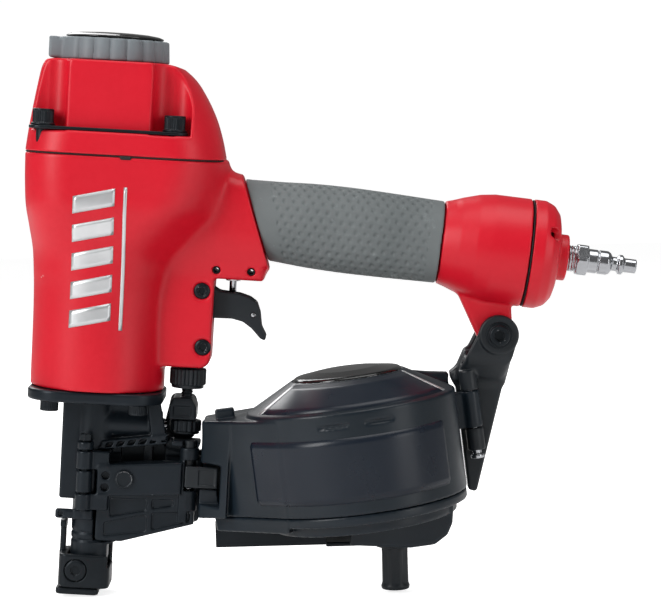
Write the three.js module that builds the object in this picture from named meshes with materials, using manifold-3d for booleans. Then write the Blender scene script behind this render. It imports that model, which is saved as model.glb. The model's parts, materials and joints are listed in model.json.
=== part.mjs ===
// A pneumatic coil roofing nailer, in millimetres, with +Z up.
// It is drawn with the drive axis on X = Y = 0 and the work surface at Z = 0, +X towards the air inlet and
// the loading side at -Y. The last lines move it so that the origin is the bottom centre of its bounding box.
import * as THREE from "three";
import { mergeVertices } from "three/addons/utils/BufferGeometryUtils.js";
import Module from "manifold-3d";

const wasm = await Module();
wasm.setup();

// ---------------------------------------------------------------- driving dimensions
const gap = 0.3; // between pieces that touch
const barrelRadius = 31; // lower barrel of the housing
const barrelBottom = 98; // underside of the housing
const parting = 206.5; // joint between the housing and its cap
const capTop = 250;
const boreRadius = 26.5; // housing bore that holds the cylinder sleeve
const pistonRadius = 21.7;
const nailBore = 5.4; // clears a roofing nail's head
const capBoltX = [-28.5, 31.5];
const capBoltY = 29;
const ledge = 217.5; // seat of the cap's bolts and straps
const noseBoltX = [-20.5, 20.5];
const noseBoltY = 20.2;
const noseBoltHole = 1.9; // radius
const bossEnd = 52.5; // rear face of the trigger boss
const bossBottom = 110;
const bracketBottom = 152.4;
const stemX = 60.9; // trigger valve
const pivot = { x: 47, z: 146.1 }; // trigger pivot
const rodX = 42; // contact rod, under the trigger boss
const contactTravel = 8;
const handleTilt = THREE.MathUtils.degToRad(4);
const handleMiddle = new THREE.Vector3(110, 0, 177.7);
const gripHalfWidth = 16.5;
const tailRadius = 25.4;
const rollPinX = [53.2, 69.4];
const rollPinZ = 156.3;
const bossScrew = { x: 48.6, z: 119.8 };
const wheelRadius = 8.6; // depth wheel
const wheelBottom = 99.4;
const wheelTop = 108.8;
const armEye = { x: 186.2, z: 133.2 };
const magazineTilt = THREE.MathUtils.degToRad(10.5);
const magazineMiddle = new THREE.Vector3(117, -15, 48.6); // on the drum's floor
const drumRadius = 49; // of its round part, which stands about drumX
const drumX = 11;
const drumWall = 2.5;
const drumFront = { x: -59, near: 2, far: 28 }; // the drum narrows to this towards the nose
const wallTop = 49.5;
const frontTop = 48;
const crownRadius = 26;
const crownHeight = 62;
const neckFront = 50.6; // upright front face of the magazine, in the tool's own frame
const splitY = -magazineMiddle.y; // the nail strip's plane, in the drum's frame
const hinge = { x: 67, y: splitY - 4, radius: 4.2 };
const guideTilt = THREE.MathUtils.degToRad(4.7);
const guideMiddle = new THREE.Vector3(143, -15, 34);
const doorHinge = { x: -3.5, y: -13 };
const latchX = 45;
const latchY = -8;
const keeperBottom = 72.6; // catch that the door's latch rises into
const keeperTop = 75.6;

// ---------------------------------------------------------------- materials
const paint = (color, roughness, metalness) => new THREE.MeshStandardMaterial({ color, roughness, metalness });
const redPaint = paint(0xc4121f, 0.38, 0.2);
const greyRubber = paint(0x62686a, 0.85, 0);
const greyPlastic = paint(0x6b7378, 0.6, 0);
const blackPlastic = paint(0x22282d, 0.5, 0);
const blackSteel = paint(0x2b3035, 0.45, 0.7);
const brightSteel = paint(0xc9ccd0, 0.2, 1);
const castAlloy = paint(0x3a4147, 0.5, 0.6);
const seal = paint(0x151515, 0.9, 0);
const aluminium = paint(0xb4b7ba, 0.35, 1);

// ---------------------------------------------------------------- shapes
// A closed three.js geometry as a solid that can be joined and cut.
function solid(geometry) {
  const bare = geometry.clone();
  bare.deleteAttribute("normal");
  bare.deleteAttribute("uv");
  const merged = mergeVertices(bare, 1e-4);
  const vertProperties = merged.attributes.position.array;
  const triVerts = new Uint32Array(merged.index.array);
  return new wasm.Manifold(new wasm.Mesh({ numProp: 3, vertProperties, triVerts }));
}

function geometryOf(manifold) {
  const { vertProperties, triVerts } = manifold.getMesh();
  const geometry = new THREE.BufferGeometry();
  geometry.setAttribute("position", new THREE.BufferAttribute(vertProperties, 3));
  geometry.setIndex(new THREE.BufferAttribute(triVerts, 1));
  geometry.computeVertexNormals();
  return geometry;
}

function join(...pieces) {
  return geometryOf(pieces.map(solid).reduce((whole, piece) => whole.add(piece)));
}

function cut(base, ...tools) {
  return geometryOf(tools.map(solid).reduce((rest, tool) => rest.subtract(tool), solid(base)));
}

function common(a, b) {
  return geometryOf(solid(a).intersect(solid(b)));
}

function box(x0, x1, y0, y1, z0, z1) {
  const block = new THREE.BoxGeometry(x1 - x0, y1 - y0, z1 - z0);
  return block.translate((x0 + x1) / 2, (y0 + y1) / 2, (z0 + z1) / 2);
}

// A round bar between two points.
function rod(radius, from, to, sides = 20) {
  const start = new THREE.Vector3(...from);
  const along = new THREE.Vector3(...to).sub(start);
  const bar = new THREE.CylinderGeometry(radius, radius, along.length(), sides);
  bar.translate(0, along.length() / 2, 0);
  bar.applyQuaternion(new THREE.Quaternion().setFromUnitVectors(new THREE.Vector3(0, 1, 0), along.normalize()));
  return bar.translate(...from);
}

const upright = (radius, x, y, z0, z1, sides = 20) => rod(radius, [x, y, z0], [x, y, z1], sides);
const crossBar = (radius, x, z, y0, y1, sides = 20) => rod(radius, [x, y0, z], [x, y1, z], sides);

// A turned piece about Z; its profile of [radius, height] runs upwards along the outside.
function turned(profile, sides = 32) {
  const points = profile.map(([r, z]) => new THREE.Vector2(r, z));
  return new THREE.LatheGeometry(points, sides).rotateX(Math.PI / 2);
}

// A plate with an outline of [x, z] points, from y0 to y1.
function plate(outline, y0, y1) {
  const shape = new THREE.Shape(outline.map(([x, z]) => new THREE.Vector2(x, z)));
  const body = new THREE.ExtrudeGeometry(shape, { depth: y1 - y0, bevelEnabled: false });
  return body.rotateX(Math.PI / 2).translate(0, y1, 0);
}

// A slab with an outline of [x, y] points, from z0 to z1.
function slab(outline, z0, z1) {
  const shape = new THREE.Shape(outline.map(([x, y]) => new THREE.Vector2(x, y)));
  return new THREE.ExtrudeGeometry(shape, { depth: z1 - z0, bevelEnabled: false }).translate(0, 0, z0);
}

// [x, y] points of a rounded rectangle whose front and rear corners have their own radii.
function roundedOutline(x0, x1, halfWidth, frontRadius, rearRadius, steps = 6) {
  const corners = [
    [x1 - rearRadius, halfWidth - rearRadius, rearRadius, 0],
    [x0 + frontRadius, halfWidth - frontRadius, frontRadius, 1],
    [x0 + frontRadius, frontRadius - halfWidth, frontRadius, 2],
    [x1 - rearRadius, rearRadius - halfWidth, rearRadius, 3],
  ];
  return corners.flatMap(([cx, cy, r, quarter]) =>
    Array.from({ length: steps + 1 }, (_, i) => {
      const angle = ((quarter + i / steps) * Math.PI) / 2;
      return [cx + r * Math.cos(angle), cy + r * Math.sin(angle)];
    }),
  );
}

// A closed skin over rings of [x, y, z] points, each ring anticlockwise seen from the last ring's side.
function loft(rings) {
  const count = rings[0].length;
  const ends = [rings[0], rings.at(-1)].map((ring) => {
    const sum = ring.reduce((total, p) => total.map((v, i) => v + p[i]), [0, 0, 0]);
    return sum.map((v) => v / count);
  });
  const positions = [...rings.flat(), ...ends].flat();
  const [bottom, top] = [rings.length * count, rings.length * count + 1];
  const index = [];
  for (let i = 0; i < count; i++) {
    const next = (i + 1) % count;
    for (let r = 0; r + 1 < rings.length; r++) {
      const [a, b] = [r * count + i, r * count + next];
      index.push(a, b, b + count, a, b + count, a + count);
    }
    const last = (rings.length - 1) * count;
    index.push(bottom, next, i, top, last + i, last + next);
  }
  const geometry = new THREE.BufferGeometry();
  geometry.setAttribute("position", new THREE.Float32BufferAttribute(positions, 3));
  geometry.setIndex(index);
  return geometry;
}

// A coil spring about the upright line through x, y.
class Helix extends THREE.Curve {
  constructor(radius, x, y, z0, z1, turns) {
    super();
    Object.assign(this, { radius, x, y, z0, z1, turns });
  }
  getPoint(t, target = new THREE.Vector3()) {
    const angle = t * this.turns * 2 * Math.PI;
    const z = this.z0 + t * (this.z1 - this.z0);
    return target.set(this.x + this.radius * Math.cos(angle), this.y + this.radius * Math.sin(angle), z);
  }
}

function spring(wireRadius, coilRadius, x, y, z0, z1, turns) {
  const path = new Helix(coilRadius, x, y, z0 + wireRadius, z1 - wireRadius, turns);
  const section = new THREE.Shape();
  const wireSides = 5;
  for (let i = 0; i < wireSides; i++) {
    const angle = (i * 2 * Math.PI) / wireSides;
    const point = [wireRadius * Math.cos(angle), wireRadius * Math.sin(angle)];
    if (i === 0) section.moveTo(...point);
    else section.lineTo(...point);
  }
  return new THREE.ExtrudeGeometry(section, { steps: turns * 8, extrudePath: path, bevelEnabled: false });
}

// A socket-head screw standing on z, its shank pointing down.
function socketScrew(headRadius, headHeight, shankRadius, shankLength, sides = 16) {
  const body = turned(
    [
      [0, -shankLength],
      [shankRadius, -shankLength],
      [shankRadius, 0],
      [headRadius, 0],
      [headRadius, headHeight],
      [0, headHeight],
    ],
    sides,
  );
  const socketDepth = 0.6 * headHeight;
  return cut(body, upright(0.5 * headRadius, 0, 0, headHeight - socketDepth, headHeight + 1, 6));
}

// ---------------------------------------------------------------- assembly
const tool = new THREE.Group();

// The handle's frame has +X along the handle, sloping down towards the inlet.
const handle = new THREE.Group();
handle.position.copy(handleMiddle);
handle.rotation.y = handleTilt;
handle.updateMatrix();

// The drum's frame has +Z along the drum's axis, which leans forwards.
const magazine = new THREE.Group();
magazine.position.copy(magazineMiddle);
magazine.rotation.y = -magazineTilt;

const guide = new THREE.Group();
guide.position.copy(guideMiddle);
guide.rotation.y = -guideTilt;
tool.add(handle, magazine, guide);

function add(parent, name, geometry, material) {
  const mesh = new THREE.Mesh(geometry, material);
  mesh.name = name;
  parent.add(mesh);
  return mesh;
}

// ---------------------------------------------------------------- housing, cap and handle
const bodyRing = (x0, x1, halfWidth, front, rear, z) =>
  roundedOutline(x0, x1, halfWidth, front, rear).map(([x, y]) => [x, y, z]);

// Rounded rectangle across the handle at a distance along it, sheared by slant.
function gripRing(along, halfHeight, halfWidth, corner, slant = 0) {
  const outline = roundedOutline(-halfHeight, halfHeight, halfWidth, corner, corner, 5);
  return outline.map(([z, y]) => [along - slant * z, y, -z]);
}

const tailProfile = [
  [0, 44],
  [17, 44],
  [19.3, 48],
  [22, 55],
  [24.6, 63],
  [tailRadius, 70],
  [tailRadius, 87.5],
  [0, 87.5],
];
// Turned about the handle's axis, which is its frame's X.
const alongHandle = (profile, sides) => turned(profile, sides).rotateY(Math.PI / 2);
const inHandle = (geometry) => geometry.applyMatrix4(handle.matrix);

const trunk = loft([
  bodyRing(-barrelRadius, barrelRadius, barrelRadius, 30.9, 30.9, barrelBottom),
  bodyRing(-32.5, 31, 31.4, 30.9, 30.9, 148),
  bodyRing(-36.5, 41, 36.5, 26, 26, 168),
  bodyRing(-38.4, 50, 38, 23, 26, 184),
  bodyRing(-39.3, 54.5, 38, 22, 26, parting),
]);
const handleCore = loft([gripRing(-70, 15, 13.5, 9), gripRing(46, 16, 13.5, 9)]);
const handleRoot = loft([
  gripRing(-78, 19.5, 17, 12),
  gripRing(-52, 18, 16, 12, -0.1),
  gripRing(-40.5, 17.2, 15.6, 12, -0.42),
]);
const triggerBoss = box(18, bossEnd, -13, 13, bossBottom, bracketBottom + 0.6);
const triggerBracket = box(40, 74.8, -12, 12, bracketBottom, 176);
const lugOutline = [
  [163.6, 156],
  [177, 130.4],
  [181.6, 126],
  [187, 124.4],
  [192, 127.6],
  [193, 134],
  [190.6, 154],
];
const housingBlank = join(
  trunk,
  inHandle(handleCore),
  inHandle(handleRoot),
  inHandle(alongHandle(tailProfile)),
  triggerBoss,
  triggerBracket,
  plate(lugOutline, -7.3, 7.3),
);
const eachCapBolt = capBoltX.flatMap((x) => [-capBoltY, capBoltY].map((y) => [x, y]));
const eachNoseBolt = noseBoltX.flatMap((x) => [-noseBoltY, noseBoltY].map((y) => [x, y]));
const housingCuts = [
  upright(boreRadius, 0, 0, barrelBottom - 1, parting + 1, 40),
  inHandle(rod(9.5, [-90, 0, 0], [95, 0, 0], 20)),
  inHandle(rod(21, [62, 0, 0], [95, 0, 0], 28)),
  box(38, bossEnd + 1, -6.3, 6.3, 131, bracketBottom - 0.01), // slot for the trigger
  upright(7.4, stemX, 0, bracketBottom - 1, 174), // seat of the trigger valve
  upright(wheelRadius + 0.7, rodX, 0, bossBottom - 1, wheelTop + contactTravel + 0.4), // room for the wheel
  upright(4.6, rodX, 0, 112, 131.6), // spring chamber of the contact rod
  crossBar(1.95, rollPinX[0], rollPinZ, -14, 14, 12),
  crossBar(1.95, rollPinX[1], rollPinZ, -14, 14, 12),
  crossBar(2.4, pivot.x, pivot.z, -14, 14, 16),
  crossBar(2.4, bossScrew.x, bossScrew.z, -14, 14, 16),
  crossBar(3.4, armEye.x, armEye.z, -9, 9, 16),
  ...[
    [pivot.x, pivot.z],
    [bossScrew.x, bossScrew.z],
  ].map(([x, z]) => crossBar(4.3, x, z, -14, -10.6)),
  ...eachCapBolt.map(([x, y]) => upright(3.3, x, y, 188, parting + 1, 12)),
  ...eachNoseBolt.map(([x, y]) => upright(noseBoltHole, x, y, barrelBottom - 1, 110, 12)),
];
add(tool, "housing", cut(housingBlank, ...housingCuts), redPaint);

const gasketTop = parting + 0.7;
const headOutline = roundedOutline(-39, 54.2, 37.7, 22, 26);
add(
  tool,
  "head_gasket",
  cut(
    slab(headOutline, parting, gasketTop),
    upright(boreRadius, 0, 0, 200, 210, 40),
    ...eachCapBolt.map(([x, y]) => upright(3.3, x, y, 200, 210, 12)),
  ),
  seal,
);

const capBlank = loft([
  bodyRing(-39.3, 54.5, 38, 22, 26, gasketTop),
  bodyRing(-38.2, 53, 37.4, 22, 26, 216),
  bodyRing(-36.6, 49.6, 36, 22, 26, 227),
  bodyRing(-35, 43.6, 34, 22, 26, 238),
  bodyRing(-33.6, 36.5, 32, 22, 26, 246),
  bodyRing(-31.5, 31, 30, 22, 26, capTop),
]);
const boltPocket = 7.4;
add(
  tool,
  "head_cap",
  cut(
    join(capBlank, upright(11, 0, 0, 240, 254)),
    upright(27.5, 0, 0, 200, 232, 40),
    ...eachCapBolt.map(([x, y]) => upright(3.3, x, y, 200, 220, 12)),
    ...eachCapBolt.map(([x, y]) => upright(boltPocket, x, y, ledge, 260)),
    ...[-1, 1].map((side) => box(-28.5, 31.5, side > 0 ? 30 : -45, side > 0 ? 45 : -30, ledge, 260)),
    ...[0, 1, 2, 3].map((i) => {
      const angle = (i + 0.5) * (Math.PI / 2);
      return upright(3, 15 * Math.cos(angle), 15 * Math.sin(angle), 230, 256, 12);
    }),
    upright(4, 0, 0, 236, 260),
  ),
  redPaint,
);

const strapTop = ledge + 1.6;
["left", "right"].forEach((side, i) => {
  const y = i === 0 ? -capBoltY : capBoltY;
  const [inner, outer] = i === 0 ? [-35.6, -30.3] : [30.3, 35.6];
  const strap = join(
    box(capBoltX[0], capBoltX[1], inner, outer, ledge, strapTop),
    ...capBoltX.map((x) => upright(6.4, x, y, ledge, strapTop)),
  );
  const holes = capBoltX.map((x) => upright(3.3, x, y, 210, 225, 12));
  add(tool, `bolt_strap_${side}`, cut(strap, ...holes), blackSteel);
  ["front", "rear"].forEach((end, j) => {
    const bolt = add(tool, `cap_bolt_${end}_${side}`, socketScrew(4.9, 7.5, 3, 27), blackSteel);
    bolt.position.set(capBoltX[j], y, strapTop);
  });
});

// Exhaust deflector: a hollow ring with one outlet, which turns about the drive axis.
const deflectorTop = 260.3;
const deflectorBlank = join(
  turned([
    [0, capTop + gap],
    [26, capTop + gap],
    [25.4, deflectorTop],
    [0, deflectorTop],
  ]),
  box(-31, -16, -13, 13, capTop + gap, deflectorTop),
);
add(
  tool,
  "deflector",
  cut(
    deflectorBlank,
    cut(upright(21.5, 0, 0, capTop - 1, 256.6), upright(9, 0, 0, 254.3, 257)),
    upright(11.4, 0, 0, capTop - 1, 254.3),
    box(-33, -18, -9.5, 9.5, 252, 257.5),
    upright(4.1, 0, 0, 250, 262),
    upright(7, 0, 0, 257.4, 262),
  ),
  greyPlastic,
);
add(
  tool,
  "deflector_cover",
  turned([
    [0, deflectorTop + gap],
    [22.8, deflectorTop + gap],
    [22.8, 261.6],
    [19, 262.8],
    [10, 263.4],
    [0, 263.5],
  ]),
  blackSteel,
);
const deflectorScrew = socketScrew(6.4, 2.6, 3.7, 20);
add(tool, "deflector_screw", deflectorScrew, blackSteel).position.z = 257.6;

// ---------------------------------------------------------------- drive parts
const sleeveBottom = 112;
const sleeveTop = 198;
add(
  tool,
  "cylinder_sleeve",
  cut(
    join(
      upright(24.6, 0, 0, sleeveBottom, sleeveTop, 36),
      upright(26.2, 0, 0, sleeveBottom, 117, 36),
      upright(26.2, 0, 0, 158, 163, 36),
    ),
    upright(pistonRadius + gap, 0, 0, 100, 200, 36),
  ),
  aluminium,
);
add(
  tool,
  "bumper",
  turned([
    [4.4, barrelBottom + 0.2],
    [21.4, barrelBottom + 0.2],
    [21.4, 110],
    [18, 114],
    [8, 114],
    [4.4, 110],
    [4.4, barrelBottom + 0.2],
  ]),
  seal,
);
const pistonBottom = 178;
add(
  tool,
  "piston",
  cut(
    turned([
      [0, pistonBottom],
      [pistonRadius, pistonBottom],
      [pistonRadius, 182],
      [pistonRadius - 1.6, 182.4],
      [pistonRadius - 1.6, 185.6],
      [pistonRadius, 186],
      [pistonRadius, 190],
      [0, 190],
    ]),
    upright(17, 0, 0, 184, 191),
    upright(3.4, 0, 0, 170, 186),
  ),
  aluminium,
);
add(tool, "driver_blade", join(upright(3.8, 0, 0, 64, 177.7), upright(3.1, 0, 0, 177, 183.5)), brightSteel);
add(
  tool,
  "head_valve",
  turned([
    [6, 198.4],
    [25.8, 198.4],
    [25.8, 203],
    [13, 203],
    [13, 214],
    [6, 214],
    [6, 198.4],
  ]),
  blackPlastic,
);
add(tool, "head_valve_spring", spring(1, 17.5, 0, 0, 203.2, 231.8, 4), brightSteel);

// ---------------------------------------------------------------- grip, tail and air inlet
const gripOuter = loft([
  gripRing(-39.5, 17.8, gripHalfWidth - 0.8, 13, -0.42),
  gripRing(-30, 19, gripHalfWidth, 14, -0.3),
  gripRing(0, 20, gripHalfWidth, 14, 0),
  gripRing(32, 19.6, gripHalfWidth, 14, 0.02),
  gripRing(46.3, 19.3, gripHalfWidth - 0.6, 14, 0.03),
]);
const gripInner = loft([gripRing(-60, 15.6, 14.1, 9.4), gripRing(55, 16.6, 14.1, 9.4)]);
const tailClear = alongHandle([
  [0, 43.7],
  [17.4, 43.7],
  [19.7, 47.8],
  [22.4, 54.8],
  [22.4, 60],
  [0, 60],
]);
add(handle, "grip_sleeve", cut(gripOuter, gripInner, tailClear), greyRubber);

const tailFace = 87.5;
add(
  handle,
  "tail_gasket",
  cut(
    alongHandle([
      [0, tailFace + gap],
      [tailRadius - 0.2, tailFace + gap],
      [tailRadius - 0.2, tailFace + 0.9],
      [0, tailFace + 0.9],
    ]),
    rod(21, [80, 0, 0], [95, 0, 0], 28),
    ...[0, 1, 2].map((i) => tailScrewHole(i, 2.1)),
  ),
  seal,
);

function tailScrewPlace(i) {
  const angle = (i * 2 * Math.PI) / 3 + Math.PI / 2;
  return [22.9 * Math.cos(angle), 22.9 * Math.sin(angle)];
}
function tailScrewHole(i, radius) {
  const [y, z] = tailScrewPlace(i);
  return rod(radius, [78, y, z], [120, y, z], 12);
}

add(
  handle,
  "end_cap",
  cut(
    alongHandle([
      [0, tailFace + 1.2],
      [tailRadius, tailFace + 1.2],
      [tailRadius, 92],
      [24.4, 97],
      [22, 101],
      [18, 103.6],
      [10.8, 104.5],
      [10.8, 109],
      [0, 109],
    ]),
    rod(6.4, [85, 0, 0], [112, 0, 0], 24),
    rod(19, [80, 0, 0], [98, 0, 0], 28),
  ),
  redPaint,
);

// Air plug: thread, hexagon, body, neck, collar and tip.
const plugStart = 98.6;
add(
  handle,
  "air_plug",
  cut(
    join(
      alongHandle(
        [
          [0, plugStart],
          [6.1, plugStart],
          [6.1, 110],
          [6.3, 110],
          [6.3, 112],
          [5.5, 117.8],
          [5.5, 125.4],
          [4.9, 127],
          [3.3, 128],
          [3.3, 131.6],
          [4.6, 132.6],
          [4.6, 134.2],
          [3.3, 135.2],
          [3.3, 141.4],
          [0, 141.4],
        ],
        24,
      ),
      rod(8, [110.4, 0, 0], [117.4, 0, 0], 6),
    ),
    rod(2.2, [90, 0, 0], [150, 0, 0], 16),
  ),
  brightSteel,
);

// ---------------------------------------------------------------- trigger group
add(
  tool,
  "trigger_valve",
  cut(
    join(upright(7.1, stemX, 0, bracketBottom, 171), upright(3.4, stemX, 0, 151, 153)),
    upright(2, stemX, 0, 150, 172),
    ...rollPinX.map((x) => crossBar(2.15, x, rollPinZ, -14, 14, 12)),
  ),
  aluminium,
);
add(
  tool,
  "valve_stem",
  join(upright(1.7, stemX, 0, 141.6, 166), upright(1.9, stemX, 0, 160, 163)),
  brightSteel,
);

const triggerOutline = [
  [43, 138.4],
  [43, 148.6],
  [47, 150.2],
  [51, 148.6],
  [55.2, 146.2],
  [64.5, 145.4],
  [69.5, 143.9],
  [72.8, 141.6],
  [74.5, 137],
  [75.5, 130.5],
  [77.9, 126.2],
  [77.4, 123.8],
  [75, 124.8],
  [70.7, 129.3],
  [66.5, 132.2],
  [61.3, 133.4],
  [50, 133.2],
];
const triggerHollow = [
  [30, 136],
  [54, 134.6],
  [62, 134.6],
  [67, 133.6],
  [71.2, 131],
  [73.2, 132.4],
  [72.4, 137],
  [70.9, 152],
  [30, 152],
];
const leverPin = { x: 71.2, z: 135.6 };
add(
  tool,
  "trigger",
  cut(
    plate(triggerOutline, -5.6, 5.6),
    plate(triggerHollow, -4, 4),
    crossBar(2.4, pivot.x, pivot.z, -7, 7, 16),
    crossBar(1.2, leverPin.x, leverPin.z, -7, 7, 12),
  ),
  blackPlastic,
);
add(
  tool,
  "trigger_lever",
  cut(
    plate(
      [
        [38.9, 136.6],
        [52, 136.2],
        [66.5, 135.4],
        [69.5, 134.3],
        [72.3, 134.3],
        [72.2, 136.6],
        [69.5, 137.9],
        [52, 138.4],
        [38.9, 138.8],
      ],
      -3,
      3,
    ),
    crossBar(1.2, leverPin.x, leverPin.z, -7, 7, 12),
  ),
  blackSteel,
);
add(tool, "lever_pin", crossBar(1.05, leverPin.x, leverPin.z, -5.5, 5.5, 12), brightSteel);
[
  ["trigger_pivot_pin", pivot.x, pivot.z],
  ["boss_screw", bossScrew.x, bossScrew.z],
].forEach(([name, x, z]) => {
  const body = turned(
    [
      [0, -12.6],
      [2.1, -12.6],
      [2.1, 10.8],
      [3.9, 10.8],
      [3.9, 12.6],
      [0, 12.6],
    ],
    16,
  );
  const pin = cut(body, upright(1.6, 0, 0, 11.4, 14, 6)).rotateX(Math.PI / 2);
  add(tool, name, pin, blackSteel).position.set(x, 0, z);
});
["front", "rear"].forEach((end, i) => {
  const outside = crossBar(1.85, rollPinX[i], rollPinZ, -12.2, 12.2, 12);
  const pin = cut(outside, crossBar(1.1, rollPinX[i], rollPinZ, -13, 13, 12));
  add(tool, `roll_pin_${end}`, pin, blackSteel);
});

// ---------------------------------------------------------------- contact element and depth wheel
const rodCollar = 112.6;
add(
  tool,
  "contact_rod",
  join(upright(2.5, rodX, 0, wheelTop + gap, 132.6), upright(4.2, rodX, 0, rodCollar, rodCollar + 1.6)),
  blackSteel,
);
add(tool, "contact_spring", spring(0.5, 3.55, rodX, 0, rodCollar + 1.8, 131.4, 6), brightSteel);

// A knurled rim: a disc with grooves cut along its edge.
function knurled(radius, z0, z1, grooves, grooveRadius) {
  const outline = Array.from({ length: grooves * 4 }, (_, i) => {
    const r = i % 4 < 2 ? radius : radius - grooveRadius;
    const angle = (i * Math.PI) / (grooves * 2);
    return [r * Math.cos(angle), r * Math.sin(angle)];
  });
  return slab(outline, z0, z1);
}

add(
  tool,
  "depth_wheel",
  cut(
    join(
      knurled(wheelRadius, wheelBottom + 1.6, wheelTop, 20, 0.5),
      upright(7.6, 0, 0, wheelBottom, wheelBottom + 2, 24),
    ),
    upright(3.3, 0, 0, 90, wheelTop - 2, 16),
  ),
  blackPlastic,
).position.x = rodX;
const nutTop = 84.3;
add(
  tool,
  "yoke_nut",
  cut(knurled(7.4, 77.8, nutTop, 14, 0.6), upright(3.3, 0, 0, 70, 90, 16)),
  blackSteel,
).position.x = rodX;

const yokeOutline = [
  [34.2, nutTop + gap],
  [47, nutTop + gap],
  [47, 91],
  [45, 95],
  [34.2, 95],
];
const armSide = 13; // inner face of the arm that runs down the right side
const armOutline = [
  [34.2, 94.8],
  [46, 94.8],
  [46, 73.6],
  [36.5, 73.6],
  [9.5, 24],
  [9.5, 10],
  [-2, 10],
  [-2, 22],
  [4, 30],
  [31, 79],
];
add(
  tool,
  "contact_arm",
  cut(
    join(
      plate(yokeOutline, -7, armSide + 1),
      upright(2.9, rodX, 0, 78.4, 104.4), // threaded stud
      plate(armOutline, armSide, armSide + 2.4),
    ),
    box(30, 50, 8, armSide, 80, 87),
  ),
  blackSteel,
);

// Foot: a shoe around the nose's tip, with a wear pad below it. Its sides rise past the feed door and the
// throat as it is pushed up, and its rear wall stays below them.
const footTop = 19.2;
const footOutline = roundedOutline(-13.8, 10.2, 12.4, 3, 2, 3);
const footInside = 10.7; // half its inner width
const footBody = cut(
  join(slab(footOutline, 3.4, footTop), box(-14.4, -11.6, -2, 2, 10, 34), box(-14.4, -11.4, -5, 5, 30, 34)),
  slab(roundedOutline(-10, 8.6, footInside, 2, 3, 3), 5.2, 30),
  box(2.4, 11, -footInside, footInside, 13.4, 30),
  upright(nailBore + 0.3, 0, 0, -2, 8),
  crossBar(5.4, -5.6, 11.5, -13, -10.4, 24),
  crossBar(2.4, -5.6, 11.5, -13, -8, 12),
);
add(tool, "contact_foot", footBody, blackSteel);
add(
  tool,
  "wear_pad",
  cut(slab(roundedOutline(-14.6, 5.4, 11.6, 2, 2, 2), 0, 3.1), upright(nailBore + 0.3, 0, 0, -2, 8)),
  blackSteel,
);
const footScrew = socketScrew(5.1, 1.9, 2.1, 1.3).rotateX(Math.PI / 2);
add(tool, "foot_screw", footScrew, blackSteel).position.set(-5.6, -10.7, 11.5);

// ---------------------------------------------------------------- nose
const flangeTop = barrelBottom - gap;
const flangeBottom = 92.4;
const noseBottom = 15.4;
const throatEnd = 48.6;
const throatOutline = [
  [6, 25.6],
  [16, 25.8],
  [throatEnd, 35.4],
  [throatEnd, 66],
  [33, 70],
  [20, 88],
  [6, 88],
];
const noseBlank = join(
  slab(roundedOutline(-31.5, 31.5, 29, 16, 16, 5), flangeBottom, flangeTop),
  slab(roundedOutline(-9.4, 8, 9, 4, 3, 3), noseBottom, flangeBottom + 1),
  box(-15.5, -8.8, -6.5, 6.5, 44.6, flangeBottom + 1),
  plate(throatOutline, 2.2, 12),
  rod(7, [6, 0, 81], [31, 0, 81], 24),
  box(6, 26, -5, 5, 84, flangeBottom + 1),
  // Ladder-like rib over the nail strip and the brace up to the flange.
  plate(
    [
      [2, 70.2],
      [34, 74.6],
      [34, 78],
      [2, 74.6],
    ],
    -9,
    3,
  ),
  plate(
    [
      [24, 93],
      [30, 93],
      [34, 74.8],
      [27, 74],
    ],
    -9,
    -5,
  ),
  box(39.4, 49.6, -12, 3, keeperBottom, keeperTop),
  plate(
    [
      [36, 60],
      [throatEnd, 60],
      [throatEnd, keeperTop],
      [39.4, keeperTop],
    ],
    2.2,
    5,
  ),
  upright(3.7, doorHinge.x, doorHinge.y, 69.4, 73),
  box(doorHinge.x - 3, doorHinge.x + 3, doorHinge.y, -8, 69.4, 73),
  upright(3.7, doorHinge.x, doorHinge.y, 49.2, 59.4),
  box(doorHinge.x - 2.4, doorHinge.x + 2.4, doorHinge.y + 1, -8, 49.2, 59.4),
);
add(
  tool,
  "nose_body",
  cut(
    noseBlank,
    upright(nailBore, 0, 0, noseBottom - 1, 100),
    box(0, 60, -2.1, 2.1, 18, 66.4), // track for the nail shanks
    box(0, 60, -5.4, 5.4, 61.4, 66.4), // track for the nail heads
    box(0.8, 20, -10, -2, 18, 68.4), // opened by the feed door
    box(12, 40, 1, 7.4, 52, 84), // pocket of the feed pawl
    box(0, 11, footInside - gap, 13, 20, footTop + contactTravel + 2.6), // room for the foot's right side
    rod(5.1, [9, 0, 81], [40, 0, 81], 20),
    upright(1.9, doorHinge.x, doorHinge.y, 30, 80, 16),
    ...eachNoseBolt.map(([x, y]) => upright(noseBoltHole, x, y, 90, 100, 12)),
    crossBar(2.2, 43, 51, 5, 14, 12),
    upright(3.3, latchX, latchY, 70, 80, 20),
    box(latchX - 3.3, latchX + 3.6, -13, latchY, 70, 80), // the latch leaves on this side
  ),
  castAlloy,
);
eachNoseBolt.forEach(([x, y]) => {
  const place = `${x < 0 ? "front" : "rear"}_${y < 0 ? "left" : "right"}`;
  const bolt = socketScrew(4.3, 4.8, noseBoltHole - gap, 15).rotateX(Math.PI);
  add(tool, `nose_bolt_${place}`, bolt, blackSteel).position.set(x, y, flangeBottom - 0.1);
});

// Feed piston and the pawl that it pushes along the nail strip.
add(
  tool,
  "feed_piston",
  join(rod(4.8, [16, 0, 81], [22, 0, 81], 20), rod(2, [16, 0, 81], [33.4, 0, 81], 12)),
  brightSteel,
);
add(
  tool,
  "feed_pawl",
  cut(
    plate(
      [
        [20, 53],
        [24, 53],
        [27, 56],
        [27, 70],
        [32, 76],
        [32, 83.4],
        [28, 83.4],
        [28, 78],
        [23, 71],
        [23, 60],
        [20, 57],
      ],
      1.4,
      6.8,
    ),
    rod(2.3, [20, 0, 81], [40, 0, 81], 12),
  ),
  blackSteel,
);

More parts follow.
